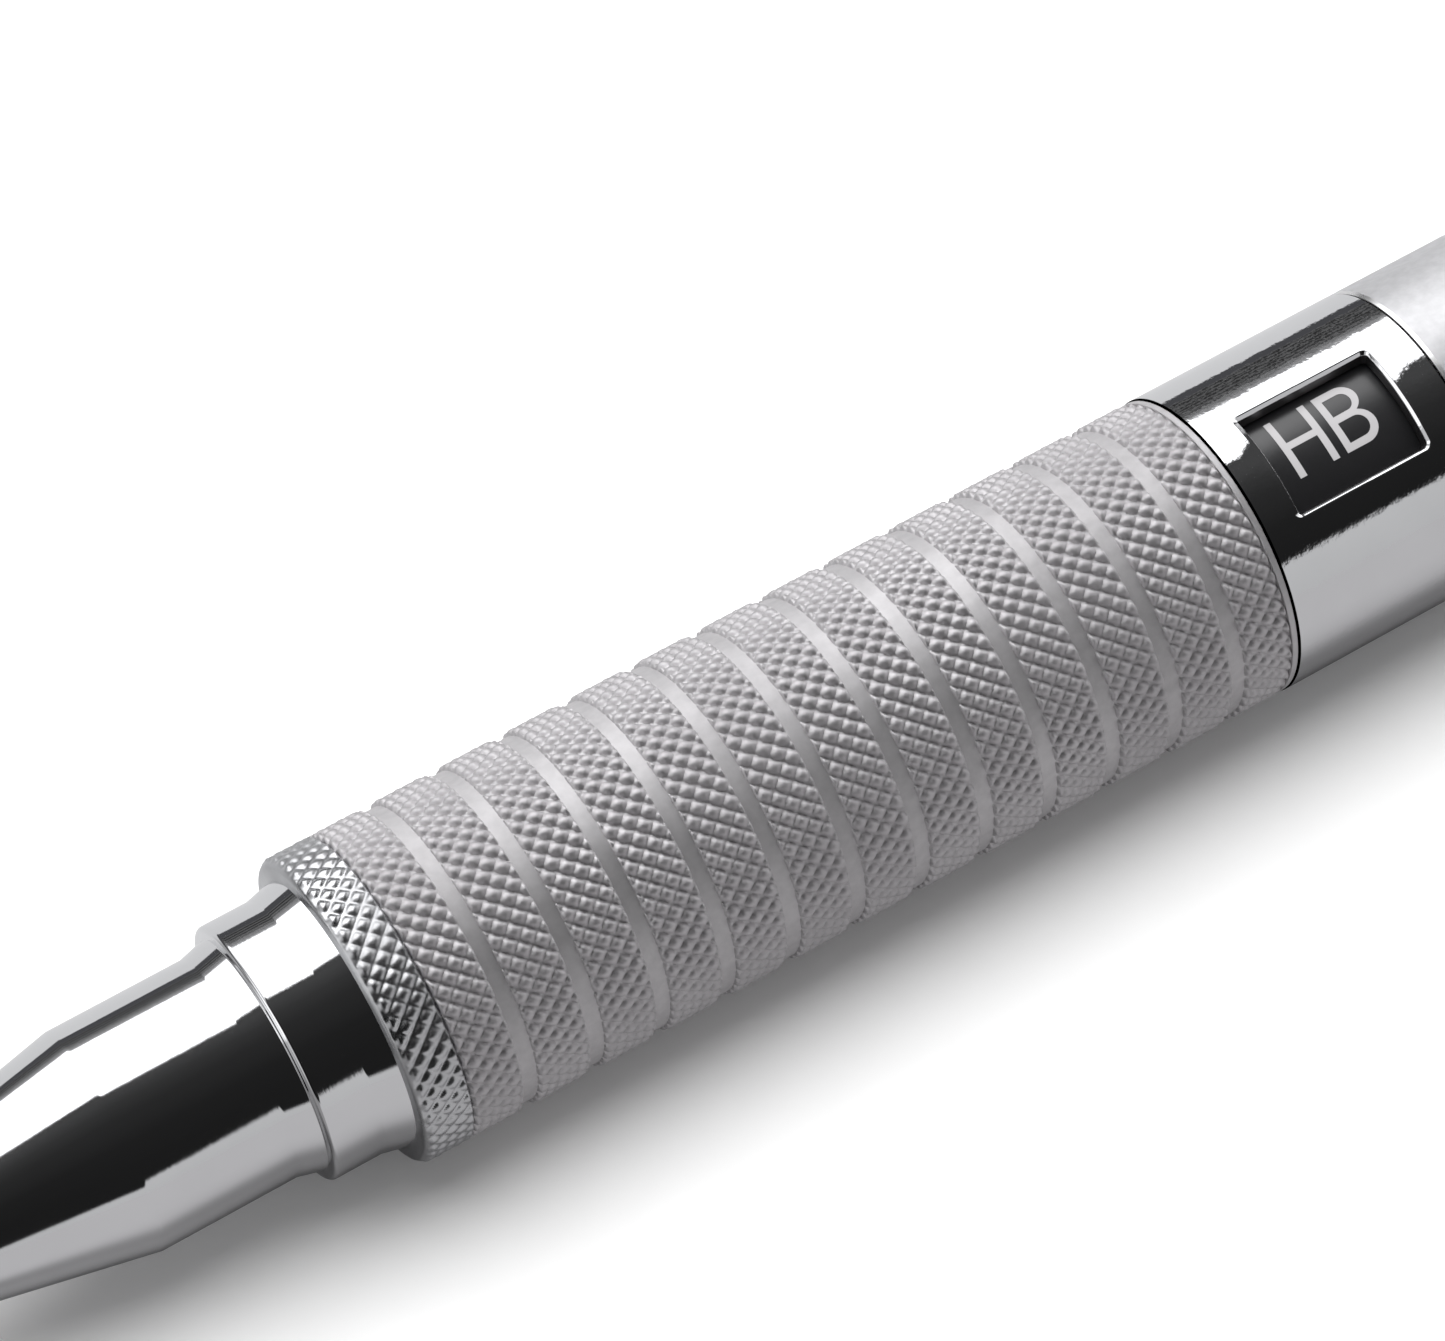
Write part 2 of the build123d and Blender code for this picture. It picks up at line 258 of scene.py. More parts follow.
def knurled_ring(name, x0, x1, depth, bore, edge0, edge1, phase,
                 heights=DOME, around=KNURL_AROUND, cut_u=0.66, cut_v=1.0):
    """Ring of the body's radius with a diamond knurl outside.

    edge0 and edge1 are rows at each end: (distance from the end face, radius, share of the
    knurl's relief left)."""
    n = KNURL_STEPS
    step = KNURL_PITCH / n
    count = around * n
    phase_x, phase_angle = phase
    first = int(math.ceil((x0 + edge0[-1][0] - phase_x + step * 0.35) / step))
    last = int(math.floor((x1 - edge1[-1][0] - phase_x - step * 0.35) / step))
    # rows of (x, radius, relief, lattice index or None)
    rows = [(x0 + dx, radius, relief, None) for dx, radius, relief in edge0]
    rows += [(phase_x + k * step, BODY_R, 1.0, k) for k in range(first, last + 1)]
    rows += [(x1 - dx, radius, relief, None) for dx, radius, relief in reversed(edge1)]
    xs, base, relief = (np.array([row[i] for row in rows]) for i in range(3))

    lattice = (xs - phase_x) / step  # fractional in the edge rows
    j = np.arange(count)
    u = (lattice[:, None] + j[None, :]) / n
    v = (lattice[:, None] - j[None, :]) / n
    height = groove_set(u, heights, cut_u) * groove_set(v, heights, cut_v)
    radii = base[:, None] - depth * (1 - height) * relief[:, None]
    angles = 2 * math.pi * j / count + phase_angle
    outer = np.empty((len(rows), count, 3))
    outer[:, :, 0] = xs[:, None]
    outer[:, :, 1] = radii * np.cos(angles)
    outer[:, :, 2] = radii * np.sin(angles)

    faces = []
    for i in range(len(rows) - 1):
        a, b = i * count, (i + 1) * count
        whole = rows[i][3] is not None and rows[i + 1][3] is not None
        k = rows[i][3] if whole else int(round(lattice[i]))
        for q in range(count):
            p = (q + 1) % count
            # the u grooves cross a cell along one diagonal, the v grooves along the other
            if (k + q + 1) % n == 0:
                faces.append((a + q, a + p, b + q))
                faces.append((a + p, b + p, b + q))
            elif (k - q) % n == 0:
                faces.append((a + q, a + p, b + p))
                faces.append((a + q, b + p, b + q))
            else:
                faces.append((a + q, a + p, b + p, b + q))

    # inner wall and end faces close the ring
    inner = np.empty((2, count, 3))
    inner[:, :, 1] = bore * np.cos(angles)
    inner[:, :, 2] = bore * np.sin(angles)
    inner[0, :, 0], inner[1, :, 0] = x0, x1
    end = (len(rows) - 1) * count
    in0 = len(rows) * count
    in1 = in0 + count
    for q in range(count):
        p = (q + 1) % count
        faces.append((in0 + q, in0 + p, p, q))
        faces.append((end + q, end + p, in1 + p, in1 + q))
        faces.append((in1 + q, in1 + p, in0 + p, in0 + q))
    verts = np.vstack([outer.reshape(-1, 3), inner.reshape(-1, 3)])
    ob = new_object(name, verts, faces)
    ob.data.set_sharp_from_angle(angle=math.radians(62))
    return ob


# ---- shader helpers --------------------------------------------------------------------
class Graph:
    """Short ways to add and join shader nodes. Values may be numbers or sockets."""

    def __init__(self, tree):
        self.tree = tree
        tree.nodes.clear()

    def node(self, kind, **props):
        node = self.tree.nodes.new(kind)
        for key, value in props.items():
            setattr(node, key, value)
        return node

    def feed(self, value, socket):
        if hasattr(value, "links"):
            self.tree.links.new(value, socket)
        else:
            socket.default_value = value

    def math(self, operation, *values, clamp=False):
        node = self.node("ShaderNodeMath", operation=operation, use_clamp=clamp)
        for value, socket in zip(values, node.inputs):
            self.feed(value, socket)
        return node.outputs[0]

    def add(self, a, b):
        return self.math("ADD", a, b)

    def sub(self, a, b):
        return self.math("SUBTRACT", a, b)

    def mul(self, a, b):
        return self.math("MULTIPLY", a, b)

    def split(self, vector):
        node = self.node("ShaderNodeSeparateXYZ")
        self.feed(vector, node.inputs[0])
        return node.outputs

    def join(self, *parts):
        node = self.node("ShaderNodeCombineXYZ")
        for part, socket in zip(parts, node.inputs):
            self.feed(part, socket)
        return node.outputs[0]

    def step(self, value, at, width):
        """0 below at, 1 above it, softened over width."""
        offset = self.math("DIVIDE", self.sub(value, at), width)
        q = self.math("ADD", offset, 0.5, clamp=True)
        return self.mul(self.mul(q, q), self.sub(3.0, self.mul(q, 2.0)))

    def polyline(self, value, points):
        """Straight pieces through (value, result) points, level beyond the ends."""
        total = points[0][1]
        for (v0, y0), (v1, y1) in zip(points[:-1], points[1:]):
            f = self.math("DIVIDE", self.sub(value, v0), v1 - v0, clamp=True)
            total = self.add(total, self.mul(f, y1 - y0))
        return total

    def blend(self, f, a, b):
        """Number a where f is 0, b where f is 1."""
        return self.add(self.mul(a, self.sub(1.0, f)), self.mul(b, f))


MATERIALS = {}


class Surface(Graph):
    """A material with one Principled shader."""

    def __init__(self, name):
        self.name = name
        self.material = bpy.data.materials.new(name)
        self.material.use_nodes = True
        super().__init__(self.material.node_tree)
        output = self.node("ShaderNodeOutputMaterial")
        self.shader = self.node("ShaderNodeBsdfPrincipled")
        self.feed(self.shader.outputs[0], output.inputs[0])
        self.place = self.node("ShaderNodeTexCoord").outputs["Object"]

    def remap(self, value, source, target, smooth=False):
        """Maps the source range on to the target range."""
        kind = "SMOOTHSTEP" if smooth else "LINEAR"
        node = self.node("ShaderNodeMapRange", interpolation_type=kind)
        for item, socket in zip((value, *source, *target), node.inputs):
            self.feed(item, socket)
        return node.outputs[0]

    def around_axis(self, scale_x, scale_turn):
        """Vector whose noise is fine along X and runs in long streaks round the turn."""
        x, y, z = (self.mul(part, 1000.0) for part in self.split(self.place))
        angle = self.math("ARCTAN2", z, y)
        return self.join(
            self.mul(x, scale_x),
            self.mul(self.math("COSINE", angle), scale_turn),
            self.mul(self.math("SINE", angle), scale_turn),
        )

    def noise(self, vector, scale, detail, rough):
        mapping = self.node("ShaderNodeMapping")
        self.feed(vector, mapping.inputs[0])
        node = self.node("ShaderNodeTexNoise")
        node.inputs["Scale"].default_value = scale
        node.inputs["Detail"].default_value = detail
        node.inputs["Roughness"].default_value = rough
        self.feed(mapping.outputs[0], node.inputs["Vector"])
        return node.outputs[0]

    def bump(self, height, strength, distance, normal=None):
        """Bump with its distance in metres, laid over an earlier normal if one is given."""
        node = self.node("ShaderNodeBump")
        node.inputs["Strength"].default_value = strength
        node.inputs["Distance"].default_value = distance
        self.feed(height, node.inputs["Height"])
        if normal is not None:
            self.feed(normal, node.inputs["Normal"])
        return node.outputs[0]

    def mix(self, factor, first, second):
        """Colour mix; the colours are RGB tuples or sockets."""
        node = self.node("ShaderNodeMix", data_type="RGBA")
        self.feed(factor, node.inputs[0])
        for color, socket in ((first, node.inputs[6]), (second, node.inputs[7])):
            self.feed((*color, 1.0) if isinstance(color, tuple) else color, socket)
        return node.outputs[2]

    def finish(self, inputs):
        """Feeds the shader's inputs by name and files the material."""
        for name, value in inputs.items():
            self.feed(value, self.shader.inputs[name])
        MATERIALS[self.name] = self.material
        return self.material


def scaled(color, factor):
    return tuple(min(1, c * factor) for c in color)


# ---- materials -------------------------------------------------------------------------
def chrome(name, color=(0.80, 0.805, 0.815), rough=0.045, wave=0.35, grain_um=0.0):
    """Plated metal: wave scales the soft unevenness, grain_um is the fine grain's depth."""
    t = Surface(name)
    smudge = t.noise(t.place, scale=260.0, detail=4.0, rough=0.6)
    roughness = t.remap(smudge, (0.35, 0.75), (rough * 0.7, rough * 1.9))
    streak = t.noise(t.around_axis(scale_x=9.0, scale_turn=0.8), scale=1.0, detail=5.0, rough=0.65)
    peel = t.noise(t.place, scale=900.0, detail=2.0, rough=0.5)
    normal = t.bump(streak, strength=0.10 * wave, distance=0.00004)
    normal = t.bump(peel, strength=0.30 * wave, distance=0.00002, normal=normal)
    if grain_um:
        grain = t.noise(t.place, scale=3400.0, detail=2.0, rough=0.6)
        normal = t.bump(grain, strength=1.0, distance=grain_um * 0.000001, normal=normal)
    tint = t.mix(t.remap(smudge, (0.3, 0.8), (0.0, 1.0)), color, scaled(color, 0.94))
    t.finish({"Base Color": tint, "Metallic": 1.0, "Roughness": roughness, "Normal": normal})


def satin(name, color, rough, grain=2600.0, bump=0.25, streak=0.0):
    """Matt metal: grain is the noise scale, bump and streak are bump strengths."""
    t = Surface(name)
    fine = t.noise(t.place, scale=grain, detail=2.0, rough=0.6)
    broad = t.noise(t.place, scale=180.0, detail=3.0, rough=0.5)
    roughness = t.remap(broad, (0.3, 0.7), (rough * 0.88, rough * 1.12))
    normal = t.bump(fine, strength=bump, distance=0.00002)
    if streak:
        vector = t.around_axis(scale_x=22.0, scale_turn=0.5)
        lines = t.noise(vector, scale=1.0, detail=4.0, rough=0.7)
        normal = t.bump(lines, strength=streak, distance=0.00002, normal=normal)
    shade = t.remap(fine, (0.25, 0.75), (0.0, 1.0))
    tint = t.mix(shade, scaled(color, 0.93), scaled(color, 1.05))
    t.finish({"Base Color": tint, "Metallic": 1.0, "Roughness": roughness, "Normal": normal})


def plastic(name, color, rough, ior=1.5, grain=1500.0, bump=0.08, subsurface=0.0, mottle=0.06):
    """Plastic or rubber: mottle is the share by which the colour varies."""
    t = Surface(name)
    fine = t.noise(t.place, scale=grain, detail=3.0, rough=0.55)
    broad = t.noise(t.place, scale=140.0, detail=3.0, rough=0.5)
    roughness = t.remap(broad, (0.3, 0.7), (rough * 0.85, rough * 1.2))
    t.finish({
        "Base Color": t.mix(broad, scaled(color, 1 - mottle), scaled(color, 1 + mottle)),
        "Roughness": roughness,
        "IOR": ior,
        "Normal": t.bump(fine, strength=bump, distance=0.00003),
        "Subsurface Weight": subsurface,
    })


def make_materials():
    chrome("bright_chrome", grain_um=0.6)
    chrome("ring_chrome", rough=0.035, grain_um=4.0)
    chrome("knurled_chrome", color=(0.60, 0.605, 0.615), rough=0.32, wave=0.3)
    satin("satin_grip", color=(0.695, 0.680, 0.690), rough=0.62)
    satin("satin_groove", color=(0.755, 0.743, 0.750), rough=0.68, streak=0.06)
    satin("satin_barrel", color=(0.79, 0.79, 0.80), rough=0.58, grain=3200.0, bump=0.10,
          streak=0.05)
    satin("barrel_rim", color=(0.93, 0.93, 0.93), rough=0.30)
    # painted shade: the window's wall is a dark grey metal standing in for the shade inside the
    # window
    satin("window_wall", color=(0.16, 0.155, 0.16), rough=0.42)
    chrome("end_metal", color=(0.74, 0.745, 0.755), rough=0.10, wave=0.5)
    satin("sleeve_steel", color=(0.62, 0.63, 0.65), rough=0.16, bump=0.05, streak=0.10)
    satin("spring_steel", color=(0.45, 0.46, 0.48), rough=0.22, bump=0.05)
    satin("turned_brass", color=(0.78, 0.58, 0.26), rough=0.22, bump=0.05, streak=0.25)
    plastic("drum_black", color=(0.012, 0.012, 0.013), rough=0.32, ior=1.75)
    plastic("grade_white", color=(0.455, 0.447, 0.455), rough=0.45, bump=0.10, mottle=0.02)
    plastic("reservoir", color=(0.80, 0.81, 0.82), rough=0.32, subsurface=0.1)
    plastic("holder_plastic", color=(0.045, 0.045, 0.05), rough=0.38, grain=900.0, bump=0.15)
    satin("graphite", color=(0.10, 0.10, 0.11), rough=0.36, grain=3500.0, bump=0.35)
    plastic("seal_rubber", color=(0.02, 0.02, 0.02), rough=0.62, grain=1200.0, bump=0.25)
    plastic("eraser_white", color=(0.86, 0.855, 0.83), rough=0.62, grain=700.0, bump=0.35,
            subsurface=0.15)


def piece(ob, body, slot, node=None, material=None):
    """Paints a piece, ties it to its moving body and swaps it for its CAD node."""
    ob.data.materials.clear()
    ob.data.materials.append(MATERIALS[material or slot])
    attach(ob, body)
    if node:
        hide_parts(node)


# ---- nose, sleeve and lead -------------------------------------------------------------
def build_nose():
    x_cone_end = X_COLLAR - 7.45
    x_step = X_COLLAR - 2.43
    tip_r = NOSE_CYL_R - CONE_SLOPE * (x_cone_end - X_NOSE)
    # (x, radius, fillet)
    profile = [
        (X_NOSE, 0.65),
        (X_NOSE, tip_r, 0.16),
        (x_cone_end, NOSE_CYL_R, 0.45),
        (x_step - 0.80, NOSE_CYL_R, 0.25),
        (x_step - 0.03, NOSE_CYL_R + 0.20, 0.04),
        (x_step, NECK_R, 0.16),
        (X_COLLAR - 0.84, NECK_R, 0.25),
        (X_COLLAR, NECK_R + 0.20),
        (X_COLLAR, SPIGOT_R),
        (X_NOSE_END, SPIGOT_R, 0.15),
        (X_NOSE_END, 2.56, 0.1),
        (16.6, 2.56), (16.6, 2.05),
        (13.25, 2.05), (13.25, 1.30),
        (10.15, 1.30), (10.15, 0.65),
    ]
    nose = lathe("nose", profile, segments=384, steps=8)
    piece(nose, "pencil", "bright_chrome", "nose_cone")


def build_sleeve():
    # (x, radius, fillet)
    profile = [
        (0.0, 0.31, 0.02), (0.0, 0.45, 0.045),
        (4.0, 0.45), (4.0, 0.65),
        (9.0, 0.65), (9.0, 0.31),
    ]
    sleeve = lathe("lead_pipe", profile, segments=96, steps=6)
    piece(sleeve, "pencil", "sleeve_steel", "lead_sleeve")


def build_lead():
    x0, x1 = low_x("lead"), high_x("lead")
    profile = [(x0, 0.0), (x0, 0.28, 0.09), (x1, 0.28, 0.03), (x1, 0.0)]
    lead = lathe("lead_stick", profile, segments=64, steps=6)
    piece(lead, "lead", "graphite", "lead")


# ---- collar and grip -------------------------------------------------------------------
def build_collar():
    # (distance from the end face, drop below the body's radius, relief left)
    tip_edge = [
        (0.0, 0.22, 0.0), (0.012, 0.175, 0.0), (0.04, 0.135, 0.0),
        (0.085, 0.095, 0.05), (0.13, 0.06, 0.45), (0.18, 0.02, 0.85),
    ]
    grip_edge = [(0.0, 0.12, 0.0), (0.05, 0.04, 0.6)]
    edges = [[(dx, BODY_R - drop, relief) for dx, drop, relief in edge]
             for edge in (tip_edge, grip_edge)]
    collar = knurled_ring(
        "collar", X_COLLAR, X_GRIP - 0.015, depth=KNURL_DEPTH * 0.60, bore=SPIGOT_R + 0.01,
        edge0=edges[0], edge1=edges[1], phase=COLLAR_PHASE,
        heights=WORN, around=COLLAR_AROUND, cut_u=1.0, cut_v=0.72,
    )
    piece(collar, "pencil", "knurled_chrome", "tip_collar")


def build_grip():
    x_flange_end = X_GRIP_END + 0.03
    flange_r = BODY_R - 0.03
    # (x, radius, fillet)
    profile = [
        (X_GRIP, CORE_R),
        (X_GRIP, GROOVE_R, 0.03),
        (X_KNURL_END, GROOVE_R),
        (X_KNURL_END, flange_r, 0.02),
        (x_flange_end, flange_r, 0.04),
        (x_flange_end, CORE_R),
    ]
    core = lathe("grip_core", profile, segments=384, steps=4)
    piece(core, "pencil", "satin_grip", "grip_sleeve", "satin_groove")

    grooves = [GROOVE_FIRST + GROOVE_PITCH * k for k in range(GROOVES)]
    cuts = [X_GRIP] + grooves + [X_KNURL_END]
    edge = [(0.0, GROOVE_R - 0.01, 0.0), (0.035, BODY_R - 0.045, 0.8), (0.07, BODY_R - 0.008, 1.0)]
    for k in range(GROOVES + 1):
        x0 = cuts[k] + (GROOVE_W / 2 if k else 0.0)
        x1 = cuts[k + 1] - (GROOVE_W / 2 if k < GROOVES else 0.0)
        band = knurled_ring("grip_band_%02d" % (k + 1), x0, x1, depth=KNURL_DEPTH,
                            bore=BAND_BORE, edge0=edge, edge1=edge, phase=GRIP_PHASE)
        piece(band, "pencil", "satin_grip", "grip_sleeve")


# ---- grade drum and its printed grades -------------------------------------------------
def build_drum():
    bore, groove_r = 3.30, 3.64
    # (x, radius, fillet)
    profile = [
        (X_RING, bore), (X_RING, DRUM_R, 0.06),
        (57.6, DRUM_R, 0.04), (57.6, groove_r, 0.05),
        (58.2, groove_r, 0.05), (58.2, DRUM_R, 0.04),
        (X_RING_END, DRUM_R, 0.06), (X_RING_END, bore),
    ]
    drum = lathe("drum", profile, segments=288, steps=4)
    piece(drum, "pencil", "drum_black", "grade_drum")


GRADES = ("HB", "B", "2B", "2H", "H", "F")
GRADE_FIRST = 19.1  # degrees round the drum
GRADE_SPACING = 60.0
CAP_HEIGHT = 1.96
LETTER_GAP = 0.138  # in cap heights
LETTER_SLICES = 32  # cuts across the letters' height, so that they bend round the drum
# (y, z) directions at letter angles of 0 and 90 degrees
LETTER_ZERO = np.array([-0.4406, 0.8977])
LETTER_QUARTER = np.array([0.8977, 0.4406])
STROKE = 0.116


def arc(cx, cy, rx, ry, start, end, steps=14):
    angles = [math.radians(start + (end - start) * i / steps) for i in range(steps + 1)]
    return [(cx + rx * math.cos(a), cy + ry * math.sin(a)) for a in angles]


# letters in cap heights: (width, outlines), where later outlines are holes
GLYPHS = {
    "H": (0.70, [[
        (0, 0), (STROKE, 0), (STROKE, 0.46), (0.70 - STROKE, 0.46), (0.70 - STROKE, 0),
        (0.70, 0), (0.70, 1), (0.70 - STROKE, 1), (0.70 - STROKE, 0.46 + STROKE * 0.95),
        (STROKE, 0.46 + STROKE * 0.95), (STROKE, 1), (0, 1),
    ]]),
    "B": (0.665, [
        [(0, 0)] + arc(0.385, 0.275, 0.280, 0.275, -90, 66)
        + arc(0.375, 0.750, 0.262, 0.250, -62, 90) + [(0, 1)],
        ([(STROKE, STROKE)] + arc(0.385, 0.290, 0.160, 0.170, -90, 90)
         + [(STROKE, 0.46)])[::-1],
        ([(STROKE, 0.46 + STROKE)] + arc(0.375, 0.730, 0.142, 0.150, -90, 90)
         + [(STROKE, 0.88)])[::-1],
    ]),
    "F": (0.56, [[
        (0, 0), (STROKE, 0), (STROKE, 0.44), (0.50, 0.44), (0.50, 0.565), (STROKE, 0.565),
        (STROKE, 0.875), (0.56, 0.875), (0.56, 1), (0, 1),
    ]]),
    "2": (0.60, [
        arc(0.30, 0.70, 0.30, 0.30, 172, -32, 24)
        + [(0.20, 0.125), (0.60, 0.125), (0.60, 0.0), (0.0, 0.0), (0.0, 0.11)]
        + arc(0.30, 0.70, 0.163, 0.175, 172, -32, 24)[::-1],
    ]),
}


def flat_text(name, text):
    """Mesh of the text centred in XY and sliced across, from z = -0.5 to 0.5."""
    curve = bpy.data.curves.new(name + "_c", "CURVE")
    curve.dimensions = "2D"
    curve.fill_mode = "BOTH"
    width = sum(GLYPHS[letter][0] for letter in text) + LETTER_GAP * (len(text) - 1)
    left = -width / 2
    for letter in text:
        letter_width, outlines = GLYPHS[letter]
        for outline in outlines:
            spline = curve.splines.new("POLY")
            spline.points.add(len(outline) - 1)
            for point, (x, y) in zip(spline.points, outline):
                point.co = ((left + x) * CAP_HEIGHT, (y - 0.5) * CAP_HEIGHT, 0, 1)
            spline.use_cyclic_u = True
        left += letter_width + LETTER_GAP
    curve.extrude = 0.5
    holder = bpy.data.objects.new(name + "_t", curve)
    bpy.context.scene.collection.objects.link(holder)
    bpy.context.view_layer.update()
    mesh = bpy.data.meshes.new_from_object(holder)
    bpy.data.objects.remove(holder)

    bm = bmesh.new()
    bm.from_mesh(mesh)
    bmesh.ops.remove_doubles(bm, verts=bm.verts, dist=1e-5)
    for i in range(1, LETTER_SLICES):
        y = CAP_HEIGHT * (i / LETTER_SLICES - 0.5)
        geom = list(bm.verts) + list(bm.edges) + list(bm.faces)
        bmesh.ops.bisect_plane(bm, geom=geom, dist=1e-6, plane_co=(0, y, 0), plane_no=(0, 1, 0))
    bm.to_mesh(mesh)
    bm.free()
    return mesh


def build_grade(name, text, middle):
    """One grade as a thin solid wrapped on the drum round the angle middle, read along +X."""
    mesh = flat_text(name, text)
    for v in mesh.vertices:
        x, y, z = v.co
        radius = DRUM_R - 0.004 if z < 0 else DRUM_R + 0.012
        angle = middle + y / DRUM_R
        way = math.cos(angle) * LETTER_ZERO + math.sin(angle) * LETTER_QUARTER
        v.co = Vector((WIN_X + 0.015 + x, way[0] * radius, way[1] * radius)) * MM
    mesh.update()
    ob = bpy.data.objects.new(name, mesh)
    bpy.context.scene.collection.objects.link(ob)
    piece(ob, "pencil", "drum_black", material="grade_white")


# ---- window ring -----------------------------------------------------------------------
PATCH_X0 = X_RING + RING_BEVEL - WIN_X
PATCH_X1 = X_RING_END - RING_BEVEL - WIN_X
# the patch's rows, from the window (0) to the patch's border (1)
PATCH_ROWS = [0.0, 0.04, 0.09, 0.15, 0.23, 0.34, 0.55, 0.78, 1.0]
# rolled edge on the window's +X, +s, -X and -s sides:
# (fillet radius, facet length, facet tilt in degrees)
EDGE_SIDES = [(0.07, 0.05, 52.0), (0.05, 0.05, 62.0), (0.006, 0.124, 3.5), (0.11, 0.01, 55.0)]
EDGE_STEPS = 6
# the surface eases down beside the window's ends, over this length and to this slope
EASE_LENGTH, EASE_SLOPE = 0.50, 0.125
INNER_SCALE = 1.012  # widening of the window along s at the bore
INNER_BREAK = 0.03
STRIPS = 220  # strips round the rest of the ring
BEVEL_STEPS = 4


class WeldedMesh:
    """Gathers faces with a normal at each corner, welding points that coincide."""

    def __init__(self):
        self.points, self.faces, self.normals = [], [], []
        self.index = {}

    def add_point(self, point):
        key = tuple(np.round(point, 5))
        if key not in self.index:
            self.index[key] = len(self.points)
            self.points.append(point)
        return self.index[key]

    def add_face(self, corners, flip):
        """Adds a face of (point, normal) corners, unless it has collapsed."""
        corner_ids, corner_normals = [], []
        for point, normal in corners[::-1] if flip else corners:
            i = self.add_point(point)
            if i not in corner_ids:
                corner_ids.append(i)
                corner_normals.append(normal)
        if len(corner_ids) >= 3:
            self.faces.append(tuple(corner_ids))
            self.normals.extend(corner_normals)

    def add_strips(self, loops, flip):
        """Strips between successive closed loops of (point, normal)."""
        for a, b in zip(loops[:-1], loops[1:]):
            for i in range(len(a)):
                j = (i + 1) % len(a)
                self.add_face([a[i], b[i], b[j], a[j]], flip)


def window_outline(arc_steps=8, x_steps=22, s_steps=18):
    """Rounded rectangle as (x, s, normal x, normal s), from its +X side, counter-clockwise."""
    cx, cs = WIN_HALF_X - WIN_CORNER, WIN_HALF_S - WIN_CORNER
    arcs = []
    for x, s, start in ((cx, cs, 0), (-cx, cs, 90), (-cx, -cs, 180), (cx, -cs, 270)):
        angles = [math.radians(start + 90 * j / arc_steps) for j in range(arc_steps + 1)]
        arcs.append([(x + WIN_CORNER * math.cos(a), s + WIN_CORNER * math.sin(a),
                      math.cos(a), math.sin(a)) for a in angles])
    outline = []
    for q in range(4):
        outline += arcs[q]
        x0, s0, nx, ns = arcs[q][-1]
        x1, s1 = arcs[(q + 1) % 4][0][:2]
        count = x_steps if q in (0, 2) else s_steps
        for j in range(1, count):
            f = j / count
            outline.append((x0 + (x1 - x0) * f, s0 + (s1 - s0) * f, nx, ns))
    return np.array(outline)


def patch_border(outline):
    """The outline's points thrown from the window's centre on to the patch's rectangle."""
    border = np.empty((len(outline), 2))
    for i, (x, s) in enumerate(outline[:, :2]):
        reach_x = (PATCH_X1 / x if x > 0 else PATCH_X0 / x) if abs(x) > 1e-9 else 1e9
        reach_s = PATCH_HALF_S / abs(s) if abs(s) > 1e-9 else 1e9
        reach = min(reach_x, reach_s)
        border[i] = (x * reach, s * reach)
    # the nearest point is moved on to each corner
    for x in (PATCH_X0, PATCH_X1):
        for s in (-PATCH_HALF_S, PATCH_HALF_S):
            border[np.argmin((border[:, 0] - x) ** 2 + (border[:, 1] - s) ** 2)] = (x, s)
    return border


def on_ring(x, s, radius):
    """Point, radial direction and direction of +s; s = 0 is the window's middle."""
    y0, z0 = -math.sin(WIN_TILT), math.cos(WIN_TILT)
    y1, z1 = math.cos(WIN_TILT), math.sin(WIN_TILT)
    c, sn = math.cos(s / BODY_R), math.sin(s / BODY_R)
    y, z = c * y0 + sn * y1, c * z0 + sn * z1
    point = np.array([WIN_X + x, y * radius, z * radius])
    return point, np.array([0.0, y, z]), np.array([0.0, -sn * y0 + c * y1, -sn * z0 + c * z1])


def into_window(nx, ns, along_s):
    return -(np.array([1.0, 0, 0]) * nx + along_s * ns)


def edge_roll(nx, ns):
    """Rows (offset outward from the wall, drop, tilt): a fillet, a facet and a fillet again."""
    weights = [max(nx, 0) ** 2, max(ns, 0) ** 2, max(-nx, 0) ** 2, max(-ns, 0) ** 2]
    radius, facet, tilt = (
        sum(w * side[q] for w, side in zip(weights, EDGE_SIDES)) for q in range(3)
    )
    tilt = math.radians(tilt)
    rows = []
    for j in range(EDGE_STEPS + 1):
        a = tilt * j / EDGE_STEPS
        rows.append((radius * math.sin(a), radius * (1 - math.cos(a)), a))
    along, drop, _ = rows[-1]
    along, drop = along + facet, drop + facet * math.tan(tilt)
    rows.append((along, drop, tilt))
    for j in range(1, EDGE_STEPS + 1):
        a = tilt + (math.pi / 2 - tilt) * j / EDGE_STEPS
        rows.append((along + radius * (math.sin(a) - math.sin(tilt)),
                     drop + radius * (math.cos(tilt) - math.cos(a)), a))
    total = rows[-1][0]
    return [(total - along, drop, a) for along, drop, a in rows]


def end_ease(x, s):
    """(drop, slope along x) of the outside near the window's ends."""
    start = WIN_HALF_X + 0.18 if x > 0 else WIN_HALF_X + 0.13
    distance = abs(x) - start
    if distance >= EASE_LENGTH:
        return 0.0, 0.0
    fade = min(1.0, max(0.0, (WIN_HALF_S + 0.55 - abs(s)) / 0.6))
    fade = fade * fade * (3 - 2 * fade)
    q = 1 - max(distance, 0.0) / EASE_LENGTH
    drop = 0.5 * EASE_SLOPE * EASE_LENGTH * q * q * fade
    return drop, -EASE_SLOPE * q * fade * (1 if x > 0 else -1)


def outside_point(x, s, drop, tilt, nx, ns):
    """(point, normal) on the outside; the normal leans towards the window by tilt."""
    ease, slope = end_ease(x, s)
    point, radial, along_s = on_ring(x, s, BODY_R - drop - ease)
    normal = radial * math.cos(tilt) + into_window(nx, ns, along_s) * math.sin(tilt)
    normal = normal + np.array([slope, 0, 0]) * math.cos(tilt)
    return point, normal / np.linalg.norm(normal)


